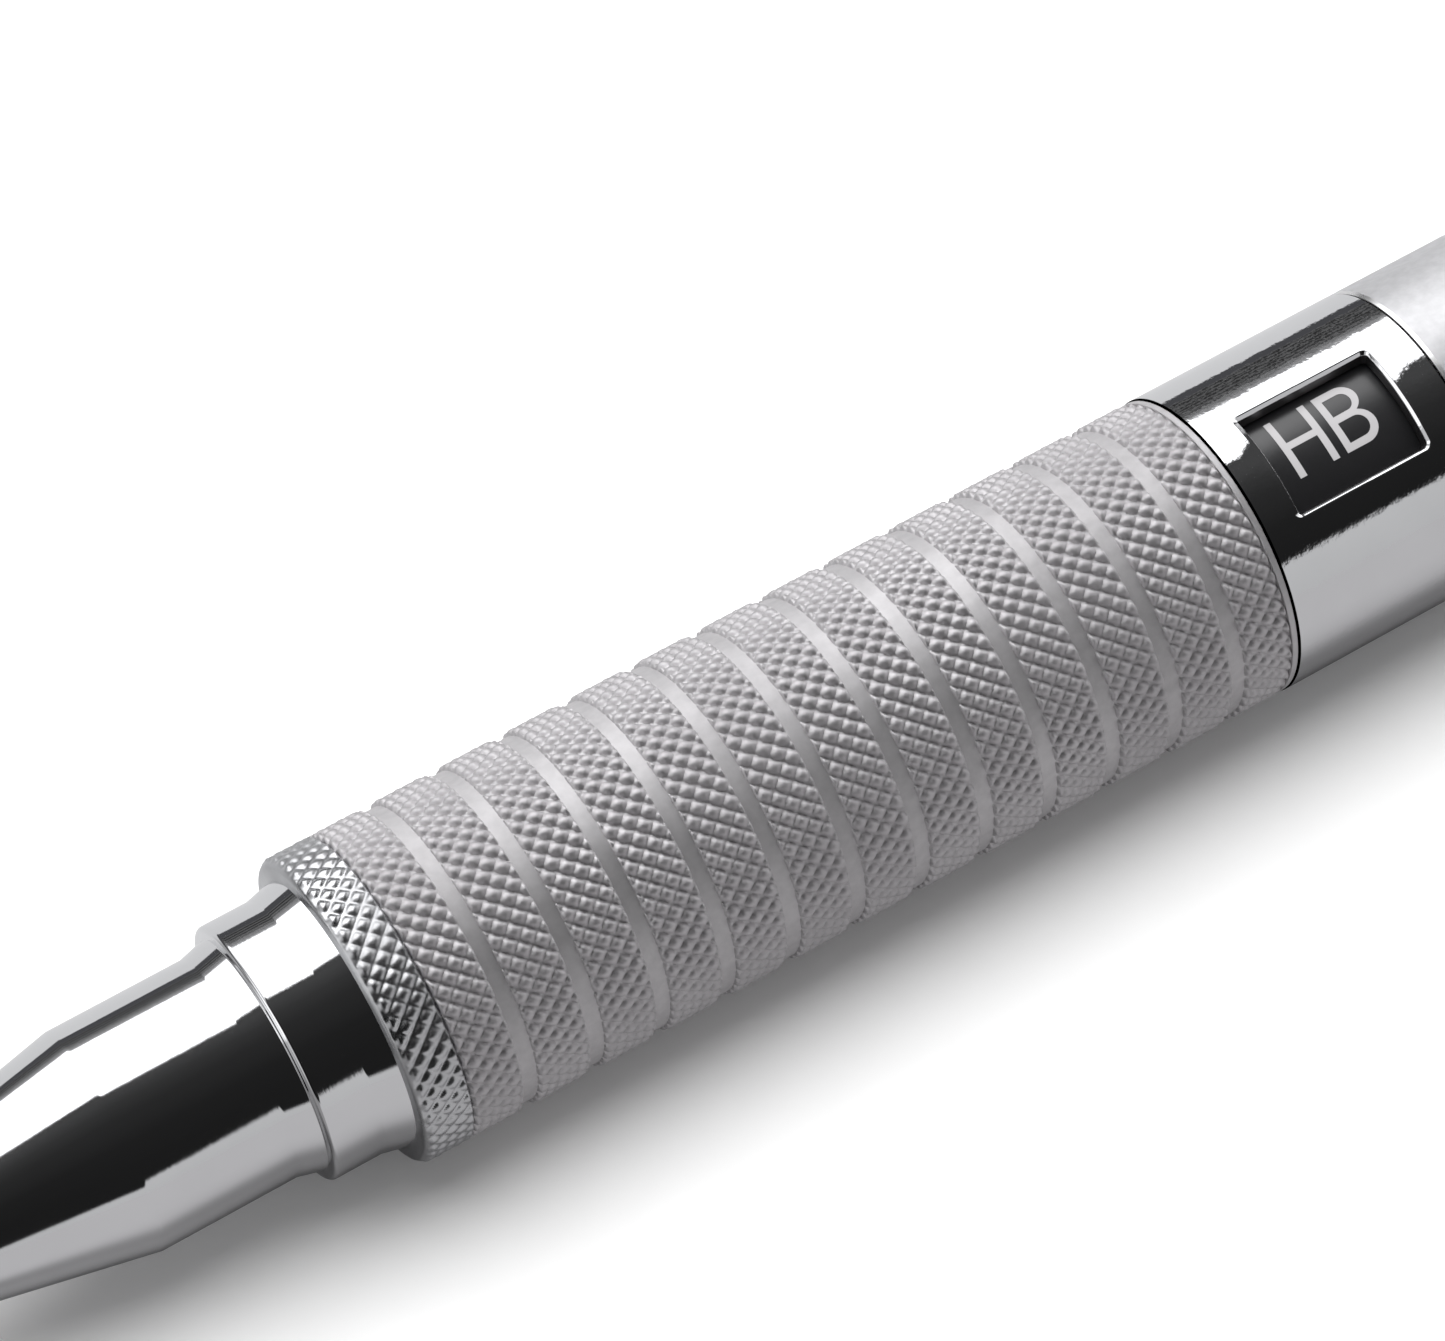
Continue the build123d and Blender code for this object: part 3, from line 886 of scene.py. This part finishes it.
def add_outside_patch(mesh, outline, border, rolls):
    loops = []
    for f in PATCH_ROWS:
        loop = []
        for (x, s, nx, ns), (bx, bs), roll in zip(outline, border, rolls):
            x0, s0 = x + nx * roll[0][0], s + ns * roll[0][0]
            loop.append(outside_point(x0 * (1 - f) + bx * f, s0 * (1 - f) + bs * f,
                                      0.0, 0.0, nx, ns))
        loops.append(loop)
    mesh.add_strips(loops, flip=False)


def add_window_edge(mesh, outline, rolls):
    """Adds the rolled edge and returns its last loop, at the top of the wall."""
    loops = []
    for row in range(len(rolls[0])):
        loop = []
        for (x, s, nx, ns), roll in zip(outline, rolls):
            offset, drop, tilt = roll[row]
            loop.append(outside_point(x + nx * offset, s + ns * offset, drop, tilt, nx, ns))
        loops.append(loop)
    mesh.add_strips(loops, flip=True)
    return loops[-1]


def inner_break_point(x, s, nx, ns):
    """(x, s) where the broken inner edge meets the bore."""
    return x + nx * INNER_BREAK, s * INNER_SCALE + ns * INNER_BREAK


def add_window_wall(mesh, outline, rolls, top_loop):
    loops = [top_loop]
    for f in (0.5, 1.0):
        loop = []
        for (x, s, nx, ns), roll in zip(outline, rolls):
            top = BODY_R - roll[-1][1] - end_ease(x, s)[0]
            radius = top + (RING_BORE + INNER_BREAK - top) * f
            point, _, along_s = on_ring(x, s * (1 + (INNER_SCALE - 1) * f), radius)
            into = into_window(nx, ns, along_s)
            loop.append((point, into / np.linalg.norm(into)))
        loops.append(loop)
    loop = []
    for entry in outline:
        point, radial, _ = on_ring(*inner_break_point(*entry), RING_BORE)
        loop.append((point, -radial))
    loops.append(loop)
    mesh.add_strips(loops, flip=True)


def add_inside_patch(mesh, outline, border):
    loops = []
    for f in PATCH_ROWS:
        loop = []
        for entry, (bx, bs) in zip(outline, border):
            x0, s0 = inner_break_point(*entry)
            x, s = x0 * (1 - f) + bx * f, s0 * (1 - f) + bs * f
            point, radial, _ = on_ring(x, s, RING_BORE)
            loop.append((point, -radial))
        loops.append(loop)
    mesh.add_strips(loops, flip=True)


def border_values(border, column, other, value):
    """Sorted values of one column where the other column equals value."""
    return sorted({round(float(p[column]), 9) for p in border if abs(p[other] - value) < 1e-9})


def add_ring_strips(mesh, border, rest, full):
    """Outside and bore away from the patch; the first and last strips take its points."""
    high = border_values(border, 0, 1, PATCH_HALF_S)
    low = border_values(border, 0, 1, -PATCH_HALF_S)
    plain = [PATCH_X0, PATCH_X1]
    for radius, sign in ((BODY_R, 1), (RING_BORE, -1)):
        for q in range(STRIPS):
            xs0 = high if q == 0 else plain
            xs1 = low if q == STRIPS - 1 else plain
            corners = []
            for x, s in [(x, rest[q]) for x in xs0] + [(x, rest[q + 1]) for x in reversed(xs1)]:
                if s > full - PATCH_HALF_S - 1e-6:
                    s -= full
                point, radial, _ = on_ring(x, s, radius)
                corners.append((point, radial * sign))
            mesh.add_face(corners, flip=sign < 0)


def add_ring_ends(mesh, border, rest):
    """Bevelled rims joining the outside to the bore."""
    for x_end, sign in ((PATCH_X0, -1), (PATCH_X1, 1)):
        stations = border_values(border, 1, 0, x_end) + rest[1:-1]
        # (x, radius, normal x, normal radial)
        profile = []
        for base, way in ((BODY_R, 1), (RING_BORE, -1)):
            for j in range(BEVEL_STEPS + 1):
                share = j / BEVEL_STEPS if way > 0 else 1 - j / BEVEL_STEPS
                c, sn = math.cos(math.pi / 2 * share), math.sin(math.pi / 2 * share)
                profile.append((x_end + sign * RING_BEVEL * sn,
                                base - way * RING_BEVEL * (1 - c), sign * sn, way * c))
        for a, b in zip(profile[:-1], profile[1:]):
            for q, s0 in enumerate(stations):
                s1 = stations[(q + 1) % len(stations)]
                corners = []
                for (x, radius, nx, nr), s in ((a, s0), (a, s1), (b, s1), (b, s0)):
                    point, radial, _ = on_ring(x, s, radius)
                    corners.append((point, np.array([nx, 0, 0]) + radial * nr))
                mesh.add_face(corners, flip=sign < 0)


def build_window_ring():
    """Ring with a rounded window, as one closed mesh with exact normals."""
    mesh = WeldedMesh()
    outline = window_outline()
    border = patch_border(outline)
    rolls = [edge_roll(nx, ns) for _, _, nx, ns in outline]
    add_outside_patch(mesh, outline, border, rolls)
    top_loop = add_window_edge(mesh, outline, rolls)
    first_wall = len(mesh.faces)
    add_window_wall(mesh, outline, rolls, top_loop)
    last_wall = len(mesh.faces)
    add_inside_patch(mesh, outline, border)
    full = 2 * math.pi * BODY_R
    rest = [PATCH_HALF_S + (full - 2 * PATCH_HALF_S) * k / STRIPS for k in range(STRIPS + 1)]
    add_ring_strips(mesh, border, rest, full)
    add_ring_ends(mesh, border, rest)

    ring = new_object("window_band", mesh.points, mesh.faces, mesh.normals)
    piece(ring, "window_ring", "bright_chrome", "window_ring", "ring_chrome")
    # painted shade: the window's wall faces take the dark window_wall material
    ring.data.materials.append(MATERIALS["window_wall"])
    for q in range(first_wall, last_wall):
        ring.data.polygons[q].material_index = 1


# ---- barrel and rear end ---------------------------------------------------------------
def build_barrel():
    bore, rear_r = 3.60, 4.40
    x_shoulder = 121.45
    # (x, radius, fillet)
    profile = [
        (X_BARREL, bore, 0.05),
        (X_BARREL, BODY_R - 0.045, 0.015),
        (X_BARREL + 0.12, BODY_R, 0.03),
        (x_shoulder, BODY_R, 0.06),
        (x_shoulder, rear_r),
        (X_BARREL_END, rear_r),
        (X_BARREL_END, bore),
    ]
    barrel = lathe("barrel_tube", profile, segments=384, steps=6)
    piece(barrel, "pencil", "satin_barrel", "barrel")
    # the chamfer at the window end is brighter
    barrel.data.materials.append(MATERIALS["barrel_rim"])
    for face in barrel.data.polygons:
        x, y, z = face.center
        if x < (X_BARREL + 0.125) * MM and y ** 2 + z ** 2 > ((BODY_R - 0.2) * MM) ** 2:
            face.material_index = 1


def build_clip_band():
    bore, groove_r = 4.40, BODY_R - 0.10
    # (x, radius, fillet)
    profile = [
        (121.5, bore), (121.5, BODY_R, 0.10),
        (122.55, BODY_R, 0.05), (122.65, groove_r, 0.06),
        (122.95, groove_r, 0.06), (123.05, BODY_R, 0.05),
        (130.95, BODY_R, 0.06), (130.95, bore),
    ]
    band = lathe("clip_band", profile, segments=384, steps=4)
    piece(band, "pencil", "bright_chrome", "clip_ring")


def build_bush():
    # (x, radius, fillet)
    profile = [
        (123.0, 2.05), (123.0, 3.60, 0.15),
        (131.0, 3.60), (131.0, BODY_R, 0.05),
        (131.75, BODY_R, 0.35), (132.2, BODY_R - 0.45, 0.15),
        (132.2, 3.22, 0.10), (132.0, 3.08, 0.05),
        (125.4, 3.08), (125.4, 2.05),
    ]
    bush = lathe("tail_bush", profile, segments=288, steps=6)
    piece(bush, "pencil", "end_metal", "rear_bush")


def build_push_cap():
    bore, cap_r, groove_r = 2.50, 3.0, 2.86
    profile = [(128.6, bore), (128.6, cap_r, 0.12)]
    for k in range(4):
        x = 137.6 + 1.1 * k
        profile += [(x - 0.2, cap_r, 0.05), (x - 0.12, groove_r, 0.06),
                    (x + 0.12, groove_r, 0.06), (x + 0.2, cap_r, 0.05)]
    profile += [(143.75, cap_r, 0.30), (144.0, 2.75, 0.30), (143.86, 2.2, 0.3),
                (143.82, 0.0), (142.6, 0.0), (142.6, bore)]
    cap = lathe("push_button", profile, segments=256, steps=5)
    piece(cap, "cap", "end_metal", "push_cap")


def build_eraser():
    profile = [(131.0, 0.0), (131.0, 2.05), (141.6, 2.05, 0.55), (141.6, 0.0)]
    eraser = lathe("eraser_plug", profile, segments=128, steps=8)
    piece(eraser, "plunger", "eraser_white", "eraser")


# ---- clip ------------------------------------------------------------------------------
CLIP_ANGLE = math.radians(27.4)  # from -Y towards -Z
# (y, z) directions away from the axis and across the clip
CLIP_OUT = (-math.cos(CLIP_ANGLE), -math.sin(CLIP_ANGLE))
CLIP_ACROSS = (math.sin(CLIP_ANGLE), -math.cos(CLIP_ANGLE))
CLIP_SIDES = 28
CLIP_POWER = 6.0  # squareness of the ribbon's rounded section
# (x, distance from the axis): foot on the band, step up, long arm, dip and raised end
CLIP_PATH = [
    (129.5, 5.11), (128.6, 5.11), (127.9, 5.11), (127.2, 5.2), (126.6, 5.9),
    (126.2, 6.6), (125.4, 6.88), (124.2, 6.9), (120.0, 6.9), (110.0, 6.88),
    (100.0, 6.86), (94.5, 6.85), (92.4, 6.7), (90.4, 6.1), (88.9, 5.35),
    (87.9, 5.12), (87.2, 5.12), (86.4, 5.3), (85.6, 5.85), (84.9, 6.35),
]
CLIP_WIDTHS = ([84.9, 85.6, 88.0, 92.0, 126.0, 127.0, 129.5],  # x
               [1.5, 2.1, 2.35, 2.5, 3.1, 3.2, 3.2])  # width
CLIP_THICKNESSES = ([84.9, 86.0, 129.5], [0.50, 0.60, 0.60])  # x, thickness


def smooth_path(points, rounds=3):
    """Cuts the corners of an open path, keeping its ends."""
    path = np.array(points, float)
    for _ in range(rounds):
        cut = [path[0]]
        for a, b in zip(path[:-1], path[1:]):
            cut += [a * 0.75 + b * 0.25, a * 0.25 + b * 0.75]
        path = np.array(cut + [path[-1]])
    return path


def signed_power(values, power):
    return np.sign(values) * np.abs(values) ** power


def build_clip():
    path = smooth_path(CLIP_PATH)
    widths = np.interp(path[:, 0], *CLIP_WIDTHS)
    thicknesses = np.interp(path[:, 0], *CLIP_THICKNESSES)
    tangents = np.gradient(path, axis=0)
    tangents /= np.linalg.norm(tangents, axis=1)[:, None]
    normals = np.stack([-tangents[:, 1], tangents[:, 0]], 1)
    turn = np.linspace(0, 2 * math.pi, CLIP_SIDES, endpoint=False) + math.pi / CLIP_SIDES
    section_w = signed_power(np.cos(turn), 2 / CLIP_POWER)
    section_h = signed_power(np.sin(turn), 2 / CLIP_POWER)
    verts = []
    for centre, normal, width, thickness in zip(path, normals, widths, thicknesses):
        for a, b in zip(section_w, section_h):
            x, out = centre + normal * (b * (thickness / 2))
            across = a * (width / 2)
            verts.append((x, out * CLIP_OUT[0] + across * CLIP_ACROSS[0],
                          out * CLIP_OUT[1] + across * CLIP_ACROSS[1]))
    clip = new_object("clip_arm", verts, tube_faces(len(path), CLIP_SIDES))
    bm = bmesh.new()
    bm.from_mesh(clip.data)
    bmesh.ops.recalc_face_normals(bm, faces=bm.faces)
    bm.to_mesh(clip.data)
    bm.free()
    clip.data.shade_smooth()
    clip.data.set_sharp_from_angle(angle=math.radians(50))
    piece(clip, "clip", "bright_chrome", "pocket_clip")


# ---- return spring ---------------------------------------------------------------------
def build_spring():
    """Coil of the return spring."""
    x0, x1 = low_x("return_spring"), high_x("return_spring")
    wire_r, coil_r = 0.15, 1.76
    turns, steps_per_turn, sides = 8.5, 48, 12
    end_closing = 0.045  # how far the end coils are drawn together
    steps = int(turns * steps_per_turn)
    along_x = np.array([1.0, 0, 0])
    verts = []
    for i in range(steps + 1):
        f = i / steps
        share = f - end_closing * math.sin(2 * math.pi * f)
        a = 2 * math.pi * turns * f
        x = x0 + wire_r + (x1 - x0 - 2 * wire_r) * share
        centre = np.array([x, coil_r * math.cos(a), coil_r * math.sin(a)])
        radial = np.array([0, math.cos(a), math.sin(a)])
        for j in range(sides):
            b = 2 * math.pi * j / sides
            verts.append(centre + wire_r * (math.cos(b) * radial + math.sin(b) * along_x))
    spring = new_object("coil_spring", verts, tube_faces(steps + 1, sides))
    piece(spring, "pencil", "spring_steel", "return_spring")
    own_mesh(spring)


def paint_cad_nodes():
    """CAD nodes still shown get their materials."""
    slots = {part["node"]: part["material_slot"] for part in frame["record"]["subparts"]}
    for name, ob in frame["nodes"].items():
        if ob.hide_render:
            continue
        material = MATERIALS[slots[name]]
        if not ob.data.materials:
            ob.data.materials.append(material)
        for slot in ob.material_slots:
            slot.link = "OBJECT"
            slot.material = material
        for face in ob.data.polygons:
            face.use_smooth = True
        ob.data.set_sharp_from_angle(angle=math.radians(30))


# ---- floor -----------------------------------------------------------------------------
def floor_paper():
    """White paper; reflections see it as a painted darker grey with painted shade in it. Places
    are in metres.
    """
    t = Surface("floor_paper")
    path = t.node("ShaderNodeLightPath")
    y = t.split(t.place)[1]
    far = t.remap(y, (0.0545, 0.0600), (0.0, 1.0), smooth=True)
    back = t.remap(y, (-0.004, 0.004), (0.0, 1.0), smooth=True)
    grain = t.noise(t.place, scale=900.0, detail=3.0, rough=0.6)
    paper = t.mix(grain, (0.97, 0.97, 0.97), (1.0, 1.0, 1.0))
    # painted reflection: the greys that reflections see, -Y side, +Y side, and dark at the far +Y
    # end
    painted_reflection = t.mix(back, (0.375, 0.370, 0.377), (0.485, 0.485, 0.492))
    painted_reflection = t.mix(far, painted_reflection, (0.050, 0.050, 0.054))
    # painted shade: in reflections the grey is darkened in a band beside the pencil, so the shade
    # there is deeper
    shade_y, shade_width, shade_depth = -0.0067, 0.0021, 0.36
    offset = t.mul(t.add(y, -shade_y), 1 / shade_width)
    bell = t.math("EXPONENT", t.mul(t.mul(offset, offset), -1.0))
    painted_shade_dip = t.mul(bell, shade_depth)
    # painted shade: the reflected grey is dimmed for rays that leave steeply towards +X
    lean_range, lean_depth = (0.40, 0.62), 0.45
    incoming = t.split(t.node("ShaderNodeNewGeometry").outputs["Incoming"])
    lean = t.mul(t.remap(incoming[0], lean_range, (0.0, 1.0), smooth=True), lean_depth)
    keep = t.mul(t.sub(1.0, painted_shade_dip), t.sub(1.0, lean))
    painted_reflection = t.mix(keep, (0.0, 0.0, 0.0), painted_reflection)
    # reflections get the painted grey, camera and diffuse rays the white paper
    color = t.mix(path.outputs["Is Glossy Ray"], paper, painted_reflection)
    return t.finish({"Base Color": color, "Roughness": 0.9, "Specular IOR Level": 0.0})


def build_floor():
    half = 1500.0
    z = -BODY_R - 0.004
    corners = [(-half, -half, z), (half, -half, z), (half, half, z), (-half, half, z)]
    floor = new_object("floor", corners, [(0, 1, 2, 3)])
    floor.data.materials.append(floor_paper())


# ---- light -----------------------------------------------------------------------------
SUN_STRENGTH = 3.95
SUN_WIDTH = math.radians(72.0)
SUN_TILT = math.radians(22.5)  # from +Z towards +Y
SUN_LEAN_X = 0.12
AMBIENT = 0.33
BACKDROP = (0.93, 0.93, 0.935)  # sky seen by the camera

# The room seen in reflections. "around" is a direction's angle in degrees from +Z towards +Y,
# "lean" is its X part over its YZ part.
# edges between bands of the room, as (lean, around)
BLACK_EDGE = [(-0.24, -84.0), (0.16, -78.0), (0.387, -63.5), (1.2, -50.0)]
PANEL_EDGE = [(-0.24, 15.9), (0.16, 12.5), (0.387, 18.7), (0.62, 27.0), (0.85, 42.0), (1.2, 48.0)]
DARK_EDGE = [(-0.24, 76.9), (0.16, 72.9), (0.387, 64.0), (1.2, 60.0)]
# brightness as (around, value)
LOW_GREY = [(-90.0, 0.56), (-62.0, 0.60)]
BLACK = [(-62.0, 0.0137), (-38.0, 0.0163), (-26.0, 0.022), (-14.0, 0.0265), (-2.0, 0.040),
         (9.0, 0.065)]
PANEL_AROUND = [(20.0, 1.20), (45.0, 1.10), (64.0, 0.92)]
REAR = 2.2
REAR_WALL = [(-95.0, 0.30), (-60.0, REAR * 0.25), (0.0, REAR * 0.55), (25.0, REAR), (60.0, REAR),
             (85.0, 0.25)]
# brightness of the panel as (lean, value): it is finite and ends towards +X
PANEL = 2.1
PANEL_LEAN = [(-0.90, 0.40), (-0.50, 1.40), (-0.20, PANEL), (0.62, PANEL), (0.85, 0.12)]
FADE_GREY = 0.42  # where the panel fades into the dark
DARK, DARK_RIPPLE, RIPPLE_RATE = 0.080, 0.064, 1.9
BLUE_TINT = 1.012


def build_sun():
    """One broad soft light from above and a little to +Y makes the shadow."""
    light = bpy.data.lights.new("key", "SUN")
    light.energy = SUN_STRENGTH
    light.angle = SUN_WIDTH
    sun = bpy.data.objects.new("key", light)
    source = Vector((SUN_LEAN_X, math.sin(SUN_TILT), math.cos(SUN_TILT))).normalized()
    sun.rotation_mode = "QUATERNION"
    sun.rotation_quaternion = source.to_track_quat("Z", "Y")
    bpy.context.scene.collection.objects.link(sun)
    sun.visible_glossy = False


def streak_grain(g, lean, around):
    """Noise about zero, fine along the lean and long around the axis."""
    noise = g.node("ShaderNodeTexNoise")
    noise.inputs["Scale"].default_value = 1.0
    noise.inputs["Detail"].default_value = 3.0
    noise.inputs["Roughness"].default_value = 0.7
    lean_scale, around_scale = 1300.0, 0.35
    vector = g.join(g.mul(lean, lean_scale), g.mul(around, around_scale))
    g.feed(vector, noise.inputs["Vector"])
    return g.sub(noise.outputs[0], 0.5)


def room_brightness(g):
    """Brightness of the room by direction."""
    dx, dy, dz = g.split(g.node("ShaderNodeTexCoord").outputs["Generated"])
    around = g.mul(g.math("ARCTAN2", dy, dz), 180 / math.pi)
    across = g.math("SQRT", g.add(g.mul(dy, dy), g.mul(dz, dz)))
    lean = g.math("DIVIDE", dx, g.math("MAXIMUM", across, 0.02))
    grain = streak_grain(g, lean, around)

    # the grain frays each edge by some degrees
    black_edge = g.add(g.polyline(lean, BLACK_EDGE), g.mul(grain, 10.0))
    panel_edge = g.add(g.polyline(lean, PANEL_EDGE), g.mul(grain, 9.0))
    dark_edge = g.polyline(lean, DARK_EDGE)
    frayed_dark_edge = g.add(dark_edge, g.mul(grain, 42.0))

    low_grey = g.polyline(around, LOW_GREY)
    black = g.mul(g.polyline(around, BLACK), g.add(1.0, g.mul(grain, 1.6)))
    panel = g.mul(g.polyline(lean, PANEL_LEAN), g.polyline(around, PANEL_AROUND))
    dark = g.add(DARK, g.mul(g.math("SINE", g.mul(around, RIPPLE_RATE)), DARK_RIPPLE))

    room = g.blend(g.step(around, at=black_edge, width=3.0), low_grey, black)
    room = g.blend(g.step(around, at=panel_edge, width=2.5), room, panel)
    # past its far edge the panel fades in streaks into the dark end of the room
    fade = g.step(around, at=g.add(frayed_dark_edge, 4.0), width=9.0)
    beyond = g.blend(fade, FADE_GREY, dark)
    room = g.blend(g.step(around, at=dark_edge, width=2.0), room, beyond)
    # a pale wall towards +X
    rear = g.polyline(around, REAR_WALL)
    room = g.blend(g.step(lean, at=1.30, width=0.40), room, rear)
    # towards -X the room is dimmer, except round to the +Y side
    dimming = 0.60
    tipward = g.step(g.mul(lean, -1.0), at=0.48, width=0.20)
    not_back = g.sub(1.0, g.step(around, at=10.0, width=30.0))
    room = g.mul(room, g.sub(1.0, g.mul(tipward, g.mul(not_back, dimming))))
    # a pale wall at the -X end, brighter above
    side_low, side_high = 0.62, 1.35
    endward = g.step(g.mul(dx, -1.0), at=0.80, width=0.14)
    below_dark = g.sub(1.0, g.step(around, at=80.0, width=10.0))
    side = g.blend(g.step(around, at=-20.0, width=14.0), side_low, side_high)
    return g.blend(g.mul(endward, below_dark), room, side)


def build_world():
    """Reflections see the room, diffuse rays an even sky and the camera a pale backdrop."""
    world = bpy.data.worlds.new("studio")
    bpy.context.scene.world = world
    world.use_nodes = True
    world.cycles.sampling_method = "NONE"
    g = Graph(world.node_tree)
    output = g.node("ShaderNodeOutputWorld")
    room = room_brightness(g)
    glow = g.node("ShaderNodeCombineColor")
    for value, socket in zip((room, room, g.mul(room, BLUE_TINT)), glow.inputs):
        g.feed(value, socket)
    path = g.node("ShaderNodeLightPath")

    def background(color, strength):
        node = g.node("ShaderNodeBackground")
        g.feed(color, node.inputs[0])
        node.inputs[1].default_value = strength
        return node.outputs[0]

    def choose(factor, first, second):
        node = g.node("ShaderNodeMixShader")
        for value, socket in zip((factor, first, second), node.inputs):
            g.feed(value, socket)
        return node.outputs[0]

    reflected = background(glow.outputs[0], strength=1.0)
    ambient = background((1.0, 1.0, 1.0, 1), strength=AMBIENT)
    backdrop = background((*BACKDROP, 1), strength=1.0)
    sky = choose(path.outputs["Is Diffuse Ray"], reflected, ambient)
    sky = choose(path.outputs["Is Camera Ray"], sky, backdrop)
    g.feed(sky, output.inputs[0])


# ---- camera ----------------------------------------------------------------------------
CAMERA_PLACE = (X_COLLAR - 30.12, -68.21, 138.99)
CAMERA_RIGHT = Vector((0.84837, -0.52941, 0.0))
CAMERA_UP = Vector((0.45176, 0.72394, 0.52137))
CAMERA_FORWARD = Vector((0.27601, 0.44231, -0.85333))


def build_camera():
    lens = bpy.data.cameras.new("camera")
    lens.lens = 141.68
    lens.sensor_width = 36.0
    lens.sensor_fit = "HORIZONTAL"
    lens.clip_start, lens.clip_end = 0.01, 10.0
    camera = bpy.data.objects.new("camera", lens)
    bpy.context.scene.collection.objects.link(camera)
    axes = Matrix((CAMERA_RIGHT, CAMERA_UP, -CAMERA_FORWARD)).transposed()
    camera.rotation_mode = "QUATERNION"
    camera.rotation_quaternion = axes.to_quaternion()
    camera.location = Vector(CAMERA_PLACE) * MM
    bpy.context.scene.camera = camera


def set_view():
    view = bpy.context.scene.view_settings
    view.view_transform = "Standard"
    view.look = "None"
    view.exposure = 0.0
    view.gamma = 1.0


# ---- build -----------------------------------------------------------------------------
make_materials()
build_nose()
build_sleeve()
build_lead()
build_collar()
build_grip()
build_drum()
for i, grade in enumerate(GRADES):
    middle = math.radians(GRADE_FIRST - GRADE_SPACING * i)
    build_grade("grade_mark_%d" % (i + 1), grade, middle)
build_window_ring()
build_barrel()
build_clip_band()
build_bush()
build_push_cap()
build_eraser()
build_clip()
build_spring()
paint_cad_nodes()
build_floor()
build_sun()
build_world()
build_camera()
set_view()
